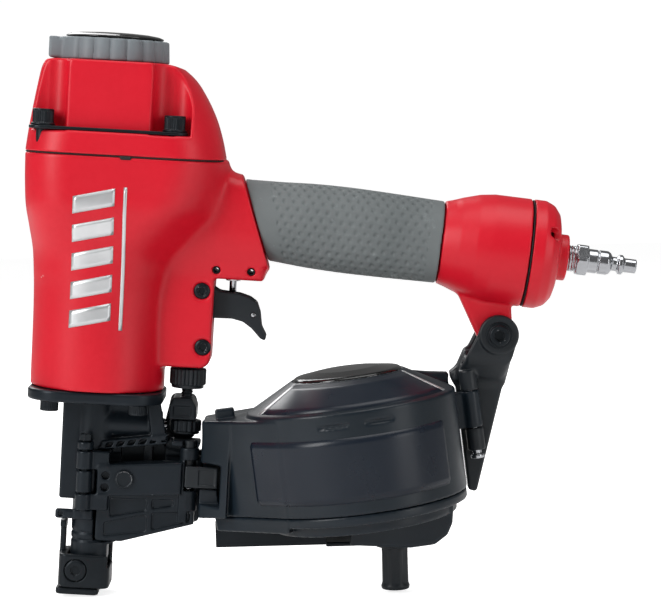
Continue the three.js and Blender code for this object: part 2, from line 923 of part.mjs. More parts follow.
// ---------------------------------------------------------------- feed door, its pin and latch
const doorFace = -14.4;
const doorBar = [
  [2.6, 47.6],
  [2.6, 62.4],
  [42, 65.5],
  [42, 50.2],
];
const doorPanel = [
  [2.6, 26],
  [15, 26.2],
  [42, 34.2],
  [42, 52],
  [2.6, 50],
];
const doorKnuckles = [
  [60.2, 68.6],
  [41, 48.4],
];
add(
  tool,
  "feed_door",
  cut(
    join(
      plate(doorBar, doorFace, -2.5),
      plate(doorPanel, -10.4, -2.5),
      ...doorKnuckles.flatMap(([z0, z1]) => [
        upright(3.9, doorHinge.x, doorHinge.y, z0, z1),
        box(doorHinge.x, 8, doorHinge.y - 1.2, -9.4, z0, z1),
      ]),
      upright(4.4, latchX, latchY, 37, keeperBottom - 0.5, 24),
      box(41, latchX, -12, -4.4, 37, 65.4),
    ),
    upright(nailBore, 0, 0, 20, 70, 24),
    upright(1.9, doorHinge.x, doorHinge.y, 30, 80, 16),
    crossBar(1.9, 6.6, 57.5, -16, -11, 12),
    crossBar(1.9, 6.4, 52, -16, -11, 12),
    crossBar(2.3, 15.4, 56.4, -16, 0, 16),
    box(11, 20, -6, 0, 53, 60),
    upright(2.9, latchX, latchY, 47.5, 80, 20),
    box(latchX - 1.8, latchX + 9, -14, latchY, 52, 66.5),
  ),
  castAlloy,
);
add(
  tool,
  "door_hinge_pin",
  join(
    upright(1.7, doorHinge.x, doorHinge.y, 40, 76.6),
    upright(3, doorHinge.x, doorHinge.y, 73.4, 76.6, 6),
  ),
  blackSteel,
);
add(
  tool,
  "pawl_pin",
  join(
    crossBar(4.3, 15.4, 56.4, doorFace - 1.6, doorFace - 0.1),
    crossBar(2.1, 15.4, 56.4, doorFace - 1, -7),
  ),
  blackSteel,
);
add(
  tool,
  "holding_pawl",
  slab(
    [
      [12, -5.6],
      [19.2, -5.6],
      [19.2, -4],
      [12, -2.2],
    ],
    53.6,
    59.4,
  ),
  blackSteel,
);
add(
  tool,
  "door_latch",
  join(
    upright(2.6, latchX, latchY, 57.4, keeperTop - 0.2, 16),
    box(latchX - 1.4, latchX + 14, -14.6, -12.7, 54, 64),
    box(latchX - 1.4, latchX + 1.4, -14, latchY, 58.4, 62),
  ),
  blackPlastic,
);
add(tool, "latch_spring", spring(0.45, 2, latchX, latchY, 47.8, 57.2, 5), brightSteel);

// ---------------------------------------------------------------- magazine drum
const drumSides = 56;
// Outline of the drum, round behind and with straight flanks that meet the circle at a tangent.
function drumOutline(inset) {
  const { x, near, far } = drumFront;
  // Bearing of the point where the flank from a front corner meets the circle.
  const tangent = (y, side) => {
    const reach = Math.hypot(drumX - x, y);
    return Math.PI - Math.asin(y / reach) - side * Math.acos(drumRadius / reach);
  };
  const first = tangent(near, -1) - 2 * Math.PI;
  const last = tangent(far, 1);
  const steps = 40;
  const arc = Array.from({ length: steps + 1 }, (_, i) => {
    const angle = first + ((last - first) * i) / steps;
    const radius = drumRadius - inset;
    return [drumX + radius * Math.cos(angle), radius * Math.sin(angle)];
  });
  return [...arc, [x + inset, far - inset], [x + inset, near + inset]];
}

// Outside or inside of the drum: upright wall, shallow cone and flat crown.
function drumForm(inset, bottom, top, crown, height, dome) {
  const front = slab(drumOutline(inset), bottom, frontTop - inset);
  const round = turned(
    [
      [0, bottom],
      [drumRadius - inset, bottom],
      [drumRadius - inset, top],
      [crown, height],
      [0, height + dome],
    ],
    drumSides,
  );
  return join(front, round.translate(drumX, 0, 0));
}

const drumOuter = drumForm(0, 0, wallTop, crownRadius, crownHeight, 3);
const drumInner = drumForm(drumWall, 3, wallTop - drumWall, crownRadius - 1, crownHeight - drumWall, 0);
const shell = cut(drumOuter, drumInner);
const everything = 200;
const strip = box(-80, -50, splitY - 4.2, splitY + 4.2, 3, frontTop - 3);
const floorStep = (radius, z0, z1) => upright(radius, drumX, 0, z0, z1, 48);
// The guide's web and foot pass under the floor, in the guide's own frame.
guide.updateMatrix();
magazine.updateMatrix();
const intoDrum = magazine.matrix.clone().invert();
const throat = (y0, y1) => box(51.2, 62, y0, y1, 42.4, 74.5).applyMatrix4(intoDrum);
const guideToDrum = intoDrum.clone().multiply(guide.matrix);
const webRoom = box(-100, 32, 20.2, 23.8, -5, 7).applyMatrix4(guideToDrum);
const knobBoss = upright(6.5, 0, 0, 2.8, 16, 20).applyMatrix4(guideToDrum);
const knobHole = upright(3.3, 0, 0, 0, 10, 16).applyMatrix4(guideToDrum);
// Skirt under the floor, on the loading side of the guide's foot.
const skirt = plate(
  [
    [122, 34],
    [150, 34.4],
    [161, 36.6],
    [166.6, 41.4],
    [168.6, 47],
    [168.6, 58],
    [122, 50],
  ],
  -33,
  -25.6,
).applyMatrix4(intoDrum);
// Rib over the cone, which carries on into the arm.
const armRoot = plate(
  [
    [142, 113],
    [155.4, 112.9],
    [164.6, 113.2],
    [164.6, 104],
    [142, 110],
  ],
  1.2,
  9,
).applyMatrix4(intoDrum);
// The cover's upright front, from the wall of the throat round to the drum's wall.
const neck = common(
  slab(
    [
      [neckFront, -7.2],
      [neckFront, -13],
      [64, -26],
      [64, -7.2],
    ],
    20,
    110,
  ).applyMatrix4(intoDrum),
  box(-90, 0, -90, 90, 3.3, frontTop - 0.4),
);

add(
  magazine,
  "magazine_body",
  cut(
    join(
      common(shell, box(-everything, everything, splitY + 0.2, everything, 2, everything)),
      slab(drumOutline(0.2), 0, 3),
      floorStep(drumRadius - 0.4, -1.5, 1),
      floorStep(43, -6.5, 0),
      skirt,
      armRoot,
      upright(7, drumX, 0, 1, 22),
      throat(4.2, 7),
      box(-78.5, -60, splitY + 12.4, splitY + 15, 14, 32),
      box(-62, -50, splitY + 5, splitY + 15, 14, 32),
      knobBoss,
    ),
    upright(4.4, drumX, 0, 3.5, 30),
    strip,
    webRoom,
    knobHole,
  ),
  blackPlastic,
);

const hingeKnuckle = (z0, z1) => upright(hinge.radius, hinge.x, hinge.y, z0, z1);
const coverShell = cut(
  common(shell, box(-everything, everything, -everything, splitY - 0.2, 3.3, everything)),
  box(-80, -50, splitY - 4.2, splitY + 4, 2, frontTop - 3),
);
// Recess for the latch's finger tab, and a slot that lets the cover swing past it.
const latchNotch = join(
  box(-75, -54, -30, 2.6, 7, 31.5),
  box(-75, -53.8, -30, splitY, 15.2, 27.9),
);
add(
  magazine,
  "magazine_cover",
  cut(
    join(
      coverShell,
      neck,
      throat(-7.4, -4.2),
      box(-59, -55, 2.4, splitY - 4.3, 3.4, frontTop - 3),
      hingeKnuckle(28.4, 45.7),
      box(57, hinge.x - 1, hinge.y - 2.4, hinge.y + 2.6, 28.4, 45.7),
      box(-52.5, -43.5, 1, 5, frontTop - 1, frontTop + 5),
    ),
    latchNotch,
    upright(2.3, hinge.x, hinge.y, 10, 60, 16),
    drumInner,
  ),
  blackPlastic,
);
add(
  magazine,
  "cover_hinge_pin",
  join(upright(2.1, hinge.x, hinge.y, 15.5, 56.4, 16), upright(3.2, hinge.x, hinge.y, 13.6, 15.6, 16)),
  brightSteel,
);
add(
  magazine,
  "nail_platform",
  join(upright(44, drumX, 0, 24.6, 27, 40), upright(4, drumX, 0, 4.2, 25)),
  greyPlastic,
);

// ---------------------------------------------------------------- arm between the tail and the drum
const eyeArc = Array.from({ length: 9 }, (_, i) => {
  const angle = (-0.05 + (i / 8) * 1.12) * Math.PI;
  return [armEye.x + 9.3 * Math.cos(angle), armEye.z + 9.3 * Math.sin(angle)];
});
const eyePlate = [...eyeArc, [171.6, 119], [192.4, 119]];
const armPlate = [
  [171.6, 122],
  [169.2, 116.6],
  [165, 113.4],
  [165.4, 111],
  [168.4, 106],
  [177.2, 58],
  [181.2, 57.2],
  [193.2, 122],
];
const knuckleWithLeaf = (z0, z1) =>
  join(
    upright(hinge.radius, hinge.x, hinge.y, z0, z1),
    box(hinge.x - 3, hinge.x + 3, hinge.y, splitY + 3, z0, z1),
  ).applyMatrix4(magazine.matrix);
add(
  tool,
  "support_arm",
  cut(
    join(
      plate(armPlate, 0.8, 10),
      plate(eyePlate, 7.7, 13.4),
      plate(eyePlate, -13.4, -7.7),
      plate(
        [
          [171.6, 118.6],
          [172.8, 121.8],
          [191.8, 121.8],
          [192.4, 118.6],
        ],
        -13.4,
        13.4,
      ),
      knuckleWithLeaf(46, 55.6),
      knuckleWithLeaf(17.6, 28),
    ),
    crossBar(3.4, armEye.x, armEye.z, -20, 20, 16),
    upright(2.3, hinge.x, hinge.y, 10, 60, 16).applyMatrix4(magazine.matrix),
  ),
  blackPlastic,
);
const armBolt = cut(
  turned(
    [
      [0, -15],
      [5, -15],
      [5, -13.6],
      [3.1, -13.6],
      [3.1, 13.6],
      [6.2, 13.6],
      [6.2, 14.4],
      [4.6, 14.4],
      [4.6, 17.6],
      [0, 17.6],
    ],
    20,
  ),
  upright(2.4, 0, 0, 15, 20, 6),
).rotateX(Math.PI / 2);
add(tool, "arm_bolt", armBolt, blackSteel).position.set(armEye.x, 0, armEye.z);

// ---------------------------------------------------------------- shingle guide and its knob
const guideSlide = 10; // travel each way
add(
  guide,
  "shingle_guide",
  cut(
    join(box(-84.5, 15.7, 21, 23, -4.3, 6), box(-32, 15.7, -9, 22, 0, 2)),
    slab(
      [
        [-3.4 - guideSlide, -3.4],
        [3.4 + guideSlide, -3.4],
        [3.4 + guideSlide, 3.4],
        [-3.4 - guideSlide, 3.4],
      ],
      -1,
      3,
    ),
  ),
  blackSteel,
);
add(
  guide,
  "guide_knob",
  turned(
    [
      [0, -22],
      [6.2, -22],
      [6.6, -20.5],
      [6.2, -4],
      [6.2, -2],
      [9, -1.6],
      [9, -gap],
      [3, -gap],
      [3, 9],
      [0, 9],
    ],
    24,
  ),
  blackPlastic,
);

// ---------------------------------------------------------------- the part's own origin
tool.updateMatrixWorld(true);
const bounds = new THREE.Box3().setFromObject(tool, true);
tool.position.set(-(bounds.min.x + bounds.max.x) / 2, -(bounds.min.y + bounds.max.y) / 2, -bounds.min.z);

export default tool;
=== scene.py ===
import json
import math

import bmesh
import bpy
import numpy as np
import openvdb as vdb
from mathutils import Matrix, Vector


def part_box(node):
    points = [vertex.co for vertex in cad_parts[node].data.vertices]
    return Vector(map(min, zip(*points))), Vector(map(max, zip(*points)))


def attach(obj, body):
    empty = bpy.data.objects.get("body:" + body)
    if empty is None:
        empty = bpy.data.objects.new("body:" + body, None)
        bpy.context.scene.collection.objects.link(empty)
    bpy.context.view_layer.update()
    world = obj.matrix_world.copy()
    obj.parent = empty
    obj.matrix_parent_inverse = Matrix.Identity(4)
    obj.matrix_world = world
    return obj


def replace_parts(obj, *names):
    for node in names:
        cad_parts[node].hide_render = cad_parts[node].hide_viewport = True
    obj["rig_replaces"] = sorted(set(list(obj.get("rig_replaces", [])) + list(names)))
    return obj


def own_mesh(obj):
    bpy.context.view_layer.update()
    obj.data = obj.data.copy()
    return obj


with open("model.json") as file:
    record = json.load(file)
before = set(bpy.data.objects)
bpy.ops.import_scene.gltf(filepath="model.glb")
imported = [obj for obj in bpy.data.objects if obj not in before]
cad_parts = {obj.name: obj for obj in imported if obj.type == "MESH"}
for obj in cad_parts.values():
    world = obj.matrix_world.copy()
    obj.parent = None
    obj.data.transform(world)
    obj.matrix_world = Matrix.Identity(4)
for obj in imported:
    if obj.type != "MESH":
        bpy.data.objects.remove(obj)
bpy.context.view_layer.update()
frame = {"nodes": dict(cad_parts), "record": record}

# ------------------------------------------------------------------ frame
# Shapes are described in millimetres with the drive axis at x = y = 0 and the work surface at z = 0.
joint = {j["name"]: j for j in frame["record"]["behaviour"]["joints"]}
OX, OY = [1000 * v for v in joint["deflector_turn"]["pos_m"][:2]]
MM = 0.001

# ------------------------------------------------------------------ distance fields
# Every function below returns a field over broadcastable X, Y, Z arrays: negative inside, in millimetres.


def smin(a, b, k):
    if k <= 0:
        return np.minimum(a, b)
    h = np.maximum(k - np.abs(a - b), 0) / k
    return np.minimum(a, b) - h * h * k * 0.25


def smax(a, b, k):
    return -smin(-a, -b, k)


def cut(a, b, k=0.6):
    return smax(a, -b, k)


def union(*fields, k=0.0):
    out = fields[0]
    for f in fields[1:]:
        out = smin(out, f, k)
    return out


def box(P, x0, x1, y0, y1, z0, z1, r=0.0):
    X, Y, Z = P
    qx = np.abs(X - (x0 + x1) / 2) - (x1 - x0) / 2 + r
    qy = np.abs(Y - (y0 + y1) / 2) - (y1 - y0) / 2 + r
    qz = np.abs(Z - (z0 + z1) / 2) - (z1 - z0) / 2 + r
    out = np.sqrt(np.maximum(qx, 0) ** 2 + np.maximum(qy, 0) ** 2 + np.maximum(qz, 0) ** 2)
    return out + np.minimum(np.maximum(qx, np.maximum(qy, qz)), 0) - r


def swapped(P, axis):
    """P with the named axis last."""
    X, Y, Z = P
    return {"x": (Y, Z, X), "y": (X, Z, Y), "z": (X, Y, Z)}[axis]


def cap2(d, w, r):
    """A flat field d given thickness by w, with its rims rounded by r."""
    d, w = d + r, w + r
    return np.sqrt(np.maximum(d, 0) ** 2 + np.maximum(w, 0) ** 2) + np.minimum(np.maximum(d, w), 0) - r


def cyl(P, axis, a, b, radius, t0, t1, r=0.0):
    """A cylinder along axis; a and b are its centre in the other two axes, in X, Y, Z order."""
    A, B, T = swapped(P, axis)
    d = np.sqrt((A - a) ** 2 + (B - b) ** 2) - radius
    return cap2(d, np.abs(T - (t0 + t1) / 2) - (t1 - t0) / 2, r)


def polygon(A, B, points):
    """Exact distance to a closed outline."""
    pts = np.asarray(points, float)
    d = None
    inside = None
    for (ax, ay), (bx, by) in zip(pts, np.roll(pts, -1, axis=0)):
        ex, ey = bx - ax, by - ay
        wx, wy = A - ax, B - ay
        t = np.clip((wx * ex + wy * ey) / (ex * ex + ey * ey), 0, 1)
        dd = (wx - ex * t) ** 2 + (wy - ey * t) ** 2
        d = dd if d is None else np.minimum(d, dd)
        crossing = ((ay > B) != (by > B)) & (A < ex * (B - ay) / (ey if ey else 1e-9) + ax)
        inside = crossing if inside is None else inside ^ crossing
    return np.where(inside, -1, 1) * np.sqrt(d)


def rounded(points, radius):
    """The outline with its corners rounded; a point may carry its own radius as a third number."""
    out = []
    n = len(points)
    for i in range(n):
        p = Vector(points[i][:2])
        r = points[i][2] if len(points[i]) > 2 else radius
        u = (Vector(points[i - 1][:2]) - p).normalized()
        v = (Vector(points[(i + 1) % n][:2]) - p).normalized()
        half = math.acos(max(-1, min(1, u.dot(v)))) / 2
        if r <= 0 or half > 1.5:
            out.append(tuple(p))
            continue
        limit = 0.48 * min((Vector(points[i - 1][:2]) - p).length, (Vector(points[(i + 1) % n][:2]) - p).length)
        reach = min(r / math.tan(half), limit)
        r = reach * math.tan(half)
        centre = p + (u + v).normalized() * (r / math.sin(half))
        a, b = p + u * reach - centre, p + v * reach - centre
        steps = 5
        for k in range(steps + 1):
            w = a.lerp(b, k / steps).normalized() * r
            out.append(tuple(centre + w))
    return out


def hexagon(P, across, z0, z1):
    """A hexagonal bar along z; across is half its width over the flats."""
    X, Y, Z = P
    flats = [np.abs(X * math.cos(a) + Y * math.sin(a)) for a in (0, math.pi / 3, 2 * math.pi / 3)]
    side = np.maximum(np.maximum(flats[0], flats[1]), flats[2]) - across
    return np.maximum(side, np.abs(Z - (z0 + z1) / 2) - (z1 - z0) / 2)


def prism(P, axis, outline, t0, t1, r=0.0):
    A, B, T = swapped(P, axis)
    return cap2(polygon(A, B, outline), np.abs(T - (t0 + t1) / 2) - (t1 - t0) / 2, r)


def revolve(P, axis, a, b, profile):
    """A turned solid; profile is a closed outline of (radius, place along the axis)."""
    A, B, T = swapped(P, axis)
    return polygon(np.sqrt((A - a) ** 2 + (B - b) ** 2), T, profile)


def turn(P, axis, degrees, centre):
    """P as seen from a frame that is turned about centre."""
    X, Y, Z = P
    c, s = math.cos(math.radians(degrees)), math.sin(math.radians(degrees))
    cx, cy, cz = centre
    X, Y, Z = X - cx, Y - cy, Z - cz
    if axis == "x":
        return X, c * Y + s * Z, c * Z - s * Y
    if axis == "y":
        return c * X - s * Z, Y, c * Z + s * X
    return c * X + s * Y, c * Y - s * X, Z


def along(v, knots, values):
    """Smooth interpolation of values over knots."""
    v = np.clip(v, knots[0], knots[-1])
    i = np.clip(np.searchsorted(knots, v, side="right") - 1, 0, len(knots) - 2)
    k, y = np.asarray(knots, float), np.asarray(values, float)
    slope = np.gradient(y, k)
    w = k[i + 1] - k[i]
    t = (v - k[i]) / w
    h00, h10 = 2 * t**3 - 3 * t**2 + 1, t**3 - 2 * t**2 + t
    h01, h11 = -2 * t**3 + 3 * t**2, t**3 - t**2
    return h00 * y[i] + h10 * w * slope[i] + h01 * y[i + 1] + h11 * w * slope[i + 1]


# ------------------------------------------------------------------ pieces
built = {}


def surface(field, lo, hi, voxel):
    """Mesh arrays of a field's zero level, in millimetres."""
    axes = [np.arange(l - 2 * voxel, h + 3 * voxel, voxel, dtype=np.float32) for l, h in zip(lo, hi)]
    P = (axes[0][:, None, None], axes[1][None, :, None], axes[2][None, None, :])
    d = np.asarray(field(P), dtype=np.float32)
    d = np.broadcast_to(d, tuple(len(a) for a in axes))
    d = np.clip(d, -3 * voxel, 3 * voxel)
    grid = vdb.FloatGrid(float(3 * voxel))
    grid.copyFromArray(np.ascontiguousarray(d, dtype=np.float32))
    points, triangles, quads = grid.convertToPolygons(isovalue=0.0, adaptivity=0.0)
    points = points * voxel + np.array([a[0] for a in axes])
    return points, triangles, quads


def mesh_object(name, points, faces):
    mesh = bpy.data.meshes.new(name)
    moved = (np.asarray(points, float) + np.array([OX, OY, 0])) * MM
    mesh.from_pydata(moved.tolist(), [], [list(map(int, f)) for f in faces])
    mesh.validate()
    obj = bpy.data.objects.new(name, mesh)
    bpy.context.scene.collection.objects.link(obj)
    mesh.shade_smooth()
    return obj


def finish_piece(obj, body, nodes, material):
    obj.data.materials.clear()
    obj.data.materials.append(material)
    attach(obj, body)
    if nodes:
        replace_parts(obj, *nodes)
    built[obj.name] = obj
    return obj


def carve(name, field, lo, hi, voxel, body, material, nodes=()):
    points, triangles, quads = surface(field, lo, hi, voxel)
    # The mesher winds its faces inwards.
    faces = [f[::-1] for f in quads] + [f[::-1] for f in triangles]
    obj = mesh_object(name, points, faces)
    return finish_piece(obj, body, nodes, material)


def refined(node, width=0.3, angle=32):
    """A CAD node with its rims bevelled, as a new piece."""
    source = frame["nodes"][node]
    mesh = source.data.copy()
    mesh.name = node + "_fine"
    bm = bmesh.new()
    bm.from_mesh(mesh)
    bmesh.ops.remove_doubles(bm, verts=bm.verts, dist=2e-6)
    bmesh.ops.dissolve_limit(bm, angle_limit=math.radians(1.5), verts=bm.verts, edges=bm.edges)
    bm.to_mesh(mesh)
    bm.free()
    obj = bpy.data.objects.new(node + "_fine", mesh)
    bpy.context.scene.collection.objects.link(obj)
    bevel = obj.modifiers.new("rims", "BEVEL")
    bevel.width = width * MM
    bevel.segments = 2
    bevel.limit_method = "ANGLE"
    bevel.angle_limit = math.radians(angle)
    bevel.harden_normals = True
    mesh.shade_smooth()
    return finish_piece(obj, body_of[node], [node], FINISH[slot_of[node]])


def look(node, field, voxel, material=None, part="look"):
    """A carved piece that stands in for a CAD node and takes its extent, body and finish."""
    low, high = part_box(node)
    lo = [low.x / MM - OX, low.y / MM - OY, low.z / MM]
    hi = [high.x / MM - OX, high.y / MM - OY, high.z / MM]
    finish = material or FINISH[slot_of[node]]
    return carve(f"{node}_{part}", field, lo, hi, voxel, body_of[node], finish, [node])


def patch(name, place, columns, rows, body, material, proud=0.14, sunk=0.4):
    """A thin closed sheet; place(u, v, out) gives its points for u and v from 0 to 1 and out in millimetres."""
    u, v = np.meshgrid(np.linspace(0, 1, columns), np.linspace(0, 1, rows), indexing="ij")
    points = np.concatenate([np.stack(place(u, v, w), -1).reshape(-1, 3) for w in (proud, -sunk)])
    n = columns * rows
    index = np.arange(n).reshape(columns, rows)
    faces = []
    for i in range(columns - 1):
        for k in range(rows - 1):
            quad = [index[i, k], index[i + 1, k], index[i + 1, k + 1], index[i, k + 1]]
            faces.append(quad)
            faces.append([q + n for q in reversed(quad)])
    rim = [*index[0, :], *index[1:, -1], *index[-1, -2::-1], *index[-2:0:-1, 0]]
    faces += [[a, b, b + n, a + n] for a, b in zip(rim, rim[1:] + rim[:1])]
    obj = mesh_object(name, points, faces)
    bm = bmesh.new()
    bm.from_mesh(obj.data)
    bmesh.ops.recalc_face_normals(bm, faces=bm.faces)
    bm.to_mesh(obj.data)
    bm.free()
    return finish_piece(obj, body, [], material)


# ------------------------------------------------------------------ materials


class Nodes:
    """A node material made line by line."""

    def __init__(self, name):
        self.material = bpy.data.materials.new(name)
        self.material.use_nodes = True
        self.tree = self.material.node_tree
        self.shader = self.tree.nodes["Principled BSDF"]
        self.place = self.add("ShaderNodeTexCoord").outputs["Object"]

    def add(self, kind, **settings):
        node = self.tree.nodes.new(kind)
        for key, value in settings.items():
            setattr(node, key, value)
        return node

    def link(self, source, target):
        self.tree.links.new(source, target)

    def feed(self, node, values):
        for key, value in values.items():
            if isinstance(value, bpy.types.NodeSocket):
                self.link(value, node.inputs[key])
            else:
                node.inputs[key].default_value = value
        return node

    def noise(self, scale, detail=3.0, roughness=0.55, vector=None, distortion=0.0):
        node = self.add("ShaderNodeTexNoise")
        self.feed(node, {"Vector": vector or self.place, "Scale": scale, "Detail": detail})
        self.feed(node, {"Roughness": roughness, "Distortion": distortion})
        return node.outputs["Fac"]

    def voronoi(self, scale, feature="F1", vector=None):
        node = self.add("ShaderNodeTexVoronoi", feature=feature)
        return self.feed(node, {"Vector": vector or self.place, "Scale": scale}).outputs["Distance"]

    def math(self, operation, a, b=0.0, clamp=False):
        node = self.add("ShaderNodeMath", operation=operation, use_clamp=clamp)
        self.feed(node, {0: a})
        if operation not in ("ABSOLUTE", "SINE", "SQRT", "FRACT"):
            self.feed(node, {1: b})
        return node.outputs[0]

    def span(self, value, low, high, to_low=0.0, to_high=1.0):
        node = self.add("ShaderNodeMapRange", clamp=True)
        values = {"Value": value, "From Min": low, "From Max": high, "To Min": to_low, "To Max": to_high}
        return self.feed(node, values).outputs[0]

    def mix(self, factor, a, b):
        node = self.add("ShaderNodeMix", data_type="RGBA")
        self.feed(node, {0: factor})
        for socket, value in ((node.inputs[6], a), (node.inputs[7], b)):
            if isinstance(value, bpy.types.NodeSocket):
                self.link(value, socket)
            else:
                socket.default_value = (*value, 1.0)
        return node.outputs[2]

    def bump(self, height, strength, distance, normal=None):
        node = self.add("ShaderNodeBump")
        self.feed(node, {"Height": height, "Strength": strength, "Distance": distance})
        if normal:
            self.link(normal, node.inputs["Normal"])
        return node.outputs["Normal"]

    def edge(self, radius):
        """1 on worn convex rims, 0 elsewhere, from the turn of the normal."""
        node = self.add("ShaderNodeNewGeometry")
        return self.span(node.outputs["Pointiness"], 0.5 + radius, 0.5 + 3 * radius)

    def set(self, **values):
        names = {"color": "Base Color", "coat": "Coat Weight", "coat_rough": "Coat Roughness"}
        for key, value in values.items():
            key = names.get(key, key.capitalize())
            if isinstance(value, tuple):
                value = (*value, 1.0)
            self.feed(self.shader, {key: value})
        return self.material


def powder_coat():
    """Satin red coating: fine orange peel, slight mottling and a few chips."""
    m = Nodes("red_coat")
    mottle = m.noise(14, 4)
    fine = m.noise(420, 2)
    colour = m.mix(m.span(mottle, 0.3, 0.7), (0.55, 0.003, 0.014), (0.62, 0.004, 0.018))
    colour = m.mix(m.span(fine, 0.35, 0.75, 0, 0.25), colour, (0.66, 0.012, 0.028))
    chips = m.math("MULTIPLY", m.span(m.noise(95, 5, 0.65), 0.735, 0.75), m.span(m.noise(9, 1), 0.56, 0.6))
    colour = m.mix(chips, colour, (0.62, 0.50, 0.48))
    peel = m.math("ADD", m.noise(330, 2), m.math("MULTIPLY", m.noise(900, 1), 0.5))
    rough = m.span(m.noise(30, 4), 0.3, 0.7, 0.36, 0.44)
    m.link(m.bump(peel, 0.22, 0.00012), m.shader.inputs["Normal"])
    m.shader.inputs["Specular IOR Level"].default_value = 0.32
    return m.set(color=colour, roughness=rough, metallic=0.0, coat=0.05, coat_rough=0.3)


def moulded(name, dark, light, rough, grain=700.0, strength=0.18, dust=0.0, shine=0.32):
    """Moulded plastic or rubber with a fine grain."""
    m = Nodes(name)
    colour = m.mix(m.span(m.noise(25, 4), 0.3, 0.7), dark, light)
    if dust:
        speck = m.span(m.noise(160, 4, 0.7), 0.62, 0.8, 0, dust)
        colour = m.mix(speck, colour, tuple(min(1, 2.2 * c + 0.05) for c in light))
    rough_map = m.span(m.noise(60, 4), 0.3, 0.7, rough - 0.05, rough + 0.06)
    m.link(m.bump(m.noise(grain, 2), strength, 0.0001), m.shader.inputs["Normal"])
    m.shader.inputs["Specular IOR Level"].default_value = shine
    return m.set(color=colour, roughness=rough_map)


def metal(name, dark, light, rough, wear=0.0, wear_color=(0.5, 0.5, 0.5), metallic=1.0, grain=260.0, strength=0.1):
    """Plated, blacked or cast metal; wear brightens its rims."""
    m = Nodes(name)
    colour = m.mix(m.span(m.noise(45, 5), 0.3, 0.7), dark, light)
    if wear:
        rim = m.math("MULTIPLY", m.edge(0.035), m.span(m.noise(120, 4), 0.35, 0.6))
        colour = m.mix(m.math("MULTIPLY", rim, wear), colour, wear_color)
    rough_map = m.span(m.noise(80, 4), 0.3, 0.7, rough - 0.05, rough + 0.07)
    m.link(m.bump(m.noise(grain, 3), strength, 0.0001), m.shader.inputs["Normal"])
    m.shader.inputs["Specular IOR Level"].default_value = 0.32
    return m.set(color=colour, roughness=rough_map, metallic=metallic)


red = powder_coat()
rubber = moulded("grip_grey", (0.12, 0.135, 0.137), (0.16, 0.176, 0.178), 0.72, 900, 0.3, 0.3)
grey_plastic = moulded("deflector_grey", (0.16, 0.185, 0.2), (0.205, 0.23, 0.245), 0.5, 500, 0.2)
black_plastic = moulded("black_moulding", (0.008, 0.011, 0.014), (0.016, 0.02, 0.024), 0.42, 600, 0.2, 0.08)
drum_plastic = moulded("drum_moulding", (0.005, 0.01, 0.015), (0.008, 0.014, 0.021), 0.34, 500, 0.08)
black_steel = metal("blacked_steel", (0.007, 0.01, 0.013), (0.014, 0.018, 0.022), 0.36, 0.6, (0.35, 0.35, 0.36), 0.5)
cast_black = metal("coated_casting", (0.006, 0.01, 0.014), (0.011, 0.016, 0.022), 0.36, 0.5, (0.3, 0.32, 0.34), 0.35, 180, 0.25)
chrome = metal("bright_plating", (0.4, 0.41, 0.43), (0.5, 0.51, 0.53), 0.16, metallic=1.0, grain=60, strength=0.05)
alloy = metal("machined_alloy", (0.5, 0.5, 0.51), (0.6, 0.6, 0.61), 0.3, metallic=1.0)
seal = moulded("seal_rubber", (0.008, 0.008, 0.008), (0.015, 0.015, 0.015), 0.6)
glossy_black = moulded("gloss_black", (0.006, 0.006, 0.006), (0.009, 0.009, 0.009), 0.12, 200, 0.02, shine=0.5)
silver_print = metal("silver_print", (0.55, 0.56, 0.57), (0.68, 0.69, 0.7), 0.34, metallic=0.75, grain=300, strength=0.05)

FINISH = {
    "red_paint": red,
    "grip_rubber": rubber,
    "deflector_plastic": grey_plastic,
    "black_plastic": black_plastic,
    "magazine_plastic": drum_plastic,
    "black_steel": black_steel,
    "cast_black": cast_black,
    "bright_steel": chrome,
    "aluminium": alloy,
    "seal_rubber": seal,
}
slot_of = {s["node"]: s["material_slot"] for s in frame["record"]["subparts"]}
body_of = {n: b for b, names in frame["record"]["behaviour"]["bodies"].items() for n in names}

# ------------------------------------------------------------------ housing
BARREL_Z = (98, 206.5)
TRUNK_Z = [98, 150, 162, 172, 182, 192, 206.5]
# Front and rear faces, half width, and the radii of the front and rear corners at those heights.
TRUNK = (
    [-31.8, -32.6, -33.4, -34.8, -36.2, -36.9, -37.4],
    [31, 31.3, 33.5, 40, 47.5, 51.5, 54.5],
    [31, 31.2, 31.9, 34.6, 37.4, 37.8, 37.8],
    [31, 30.5, 29, 26, 23, 22, 22],
    [31, 30.5, 29, 27, 26, 26, 26],
)


def trunk_outline(P, knots, x0, x1, half, front, rear):
    """Distance to a rounded rectangle in X and Y whose numbers change with Z."""
    X, Y, Z = P
    flat = Z.reshape(-1)
    a, b, w, rf, rr = [along(flat, knots, v).reshape(Z.shape) for v in (x0, x1, half, front, rear)]
    centre, hx = (a + b) / 2, (b - a) / 2
    r = np.where(X > centre, rr, rf)
    r = np.minimum(r, np.minimum(hx, w) - 0.05)
    qx, qy = np.abs(X - centre) - hx + r, np.abs(Y) - w + r
    out = np.sqrt(np.maximum(qx, 0) ** 2 + np.maximum(qy, 0) ** 2)
    return out + np.minimum(np.maximum(qx, qy), 0) - r


HANDLE = (110, 0, 177.7)
HANDLE_TILT = 4


def in_handle(P):
    return turn(P, "y", HANDLE_TILT, HANDLE)


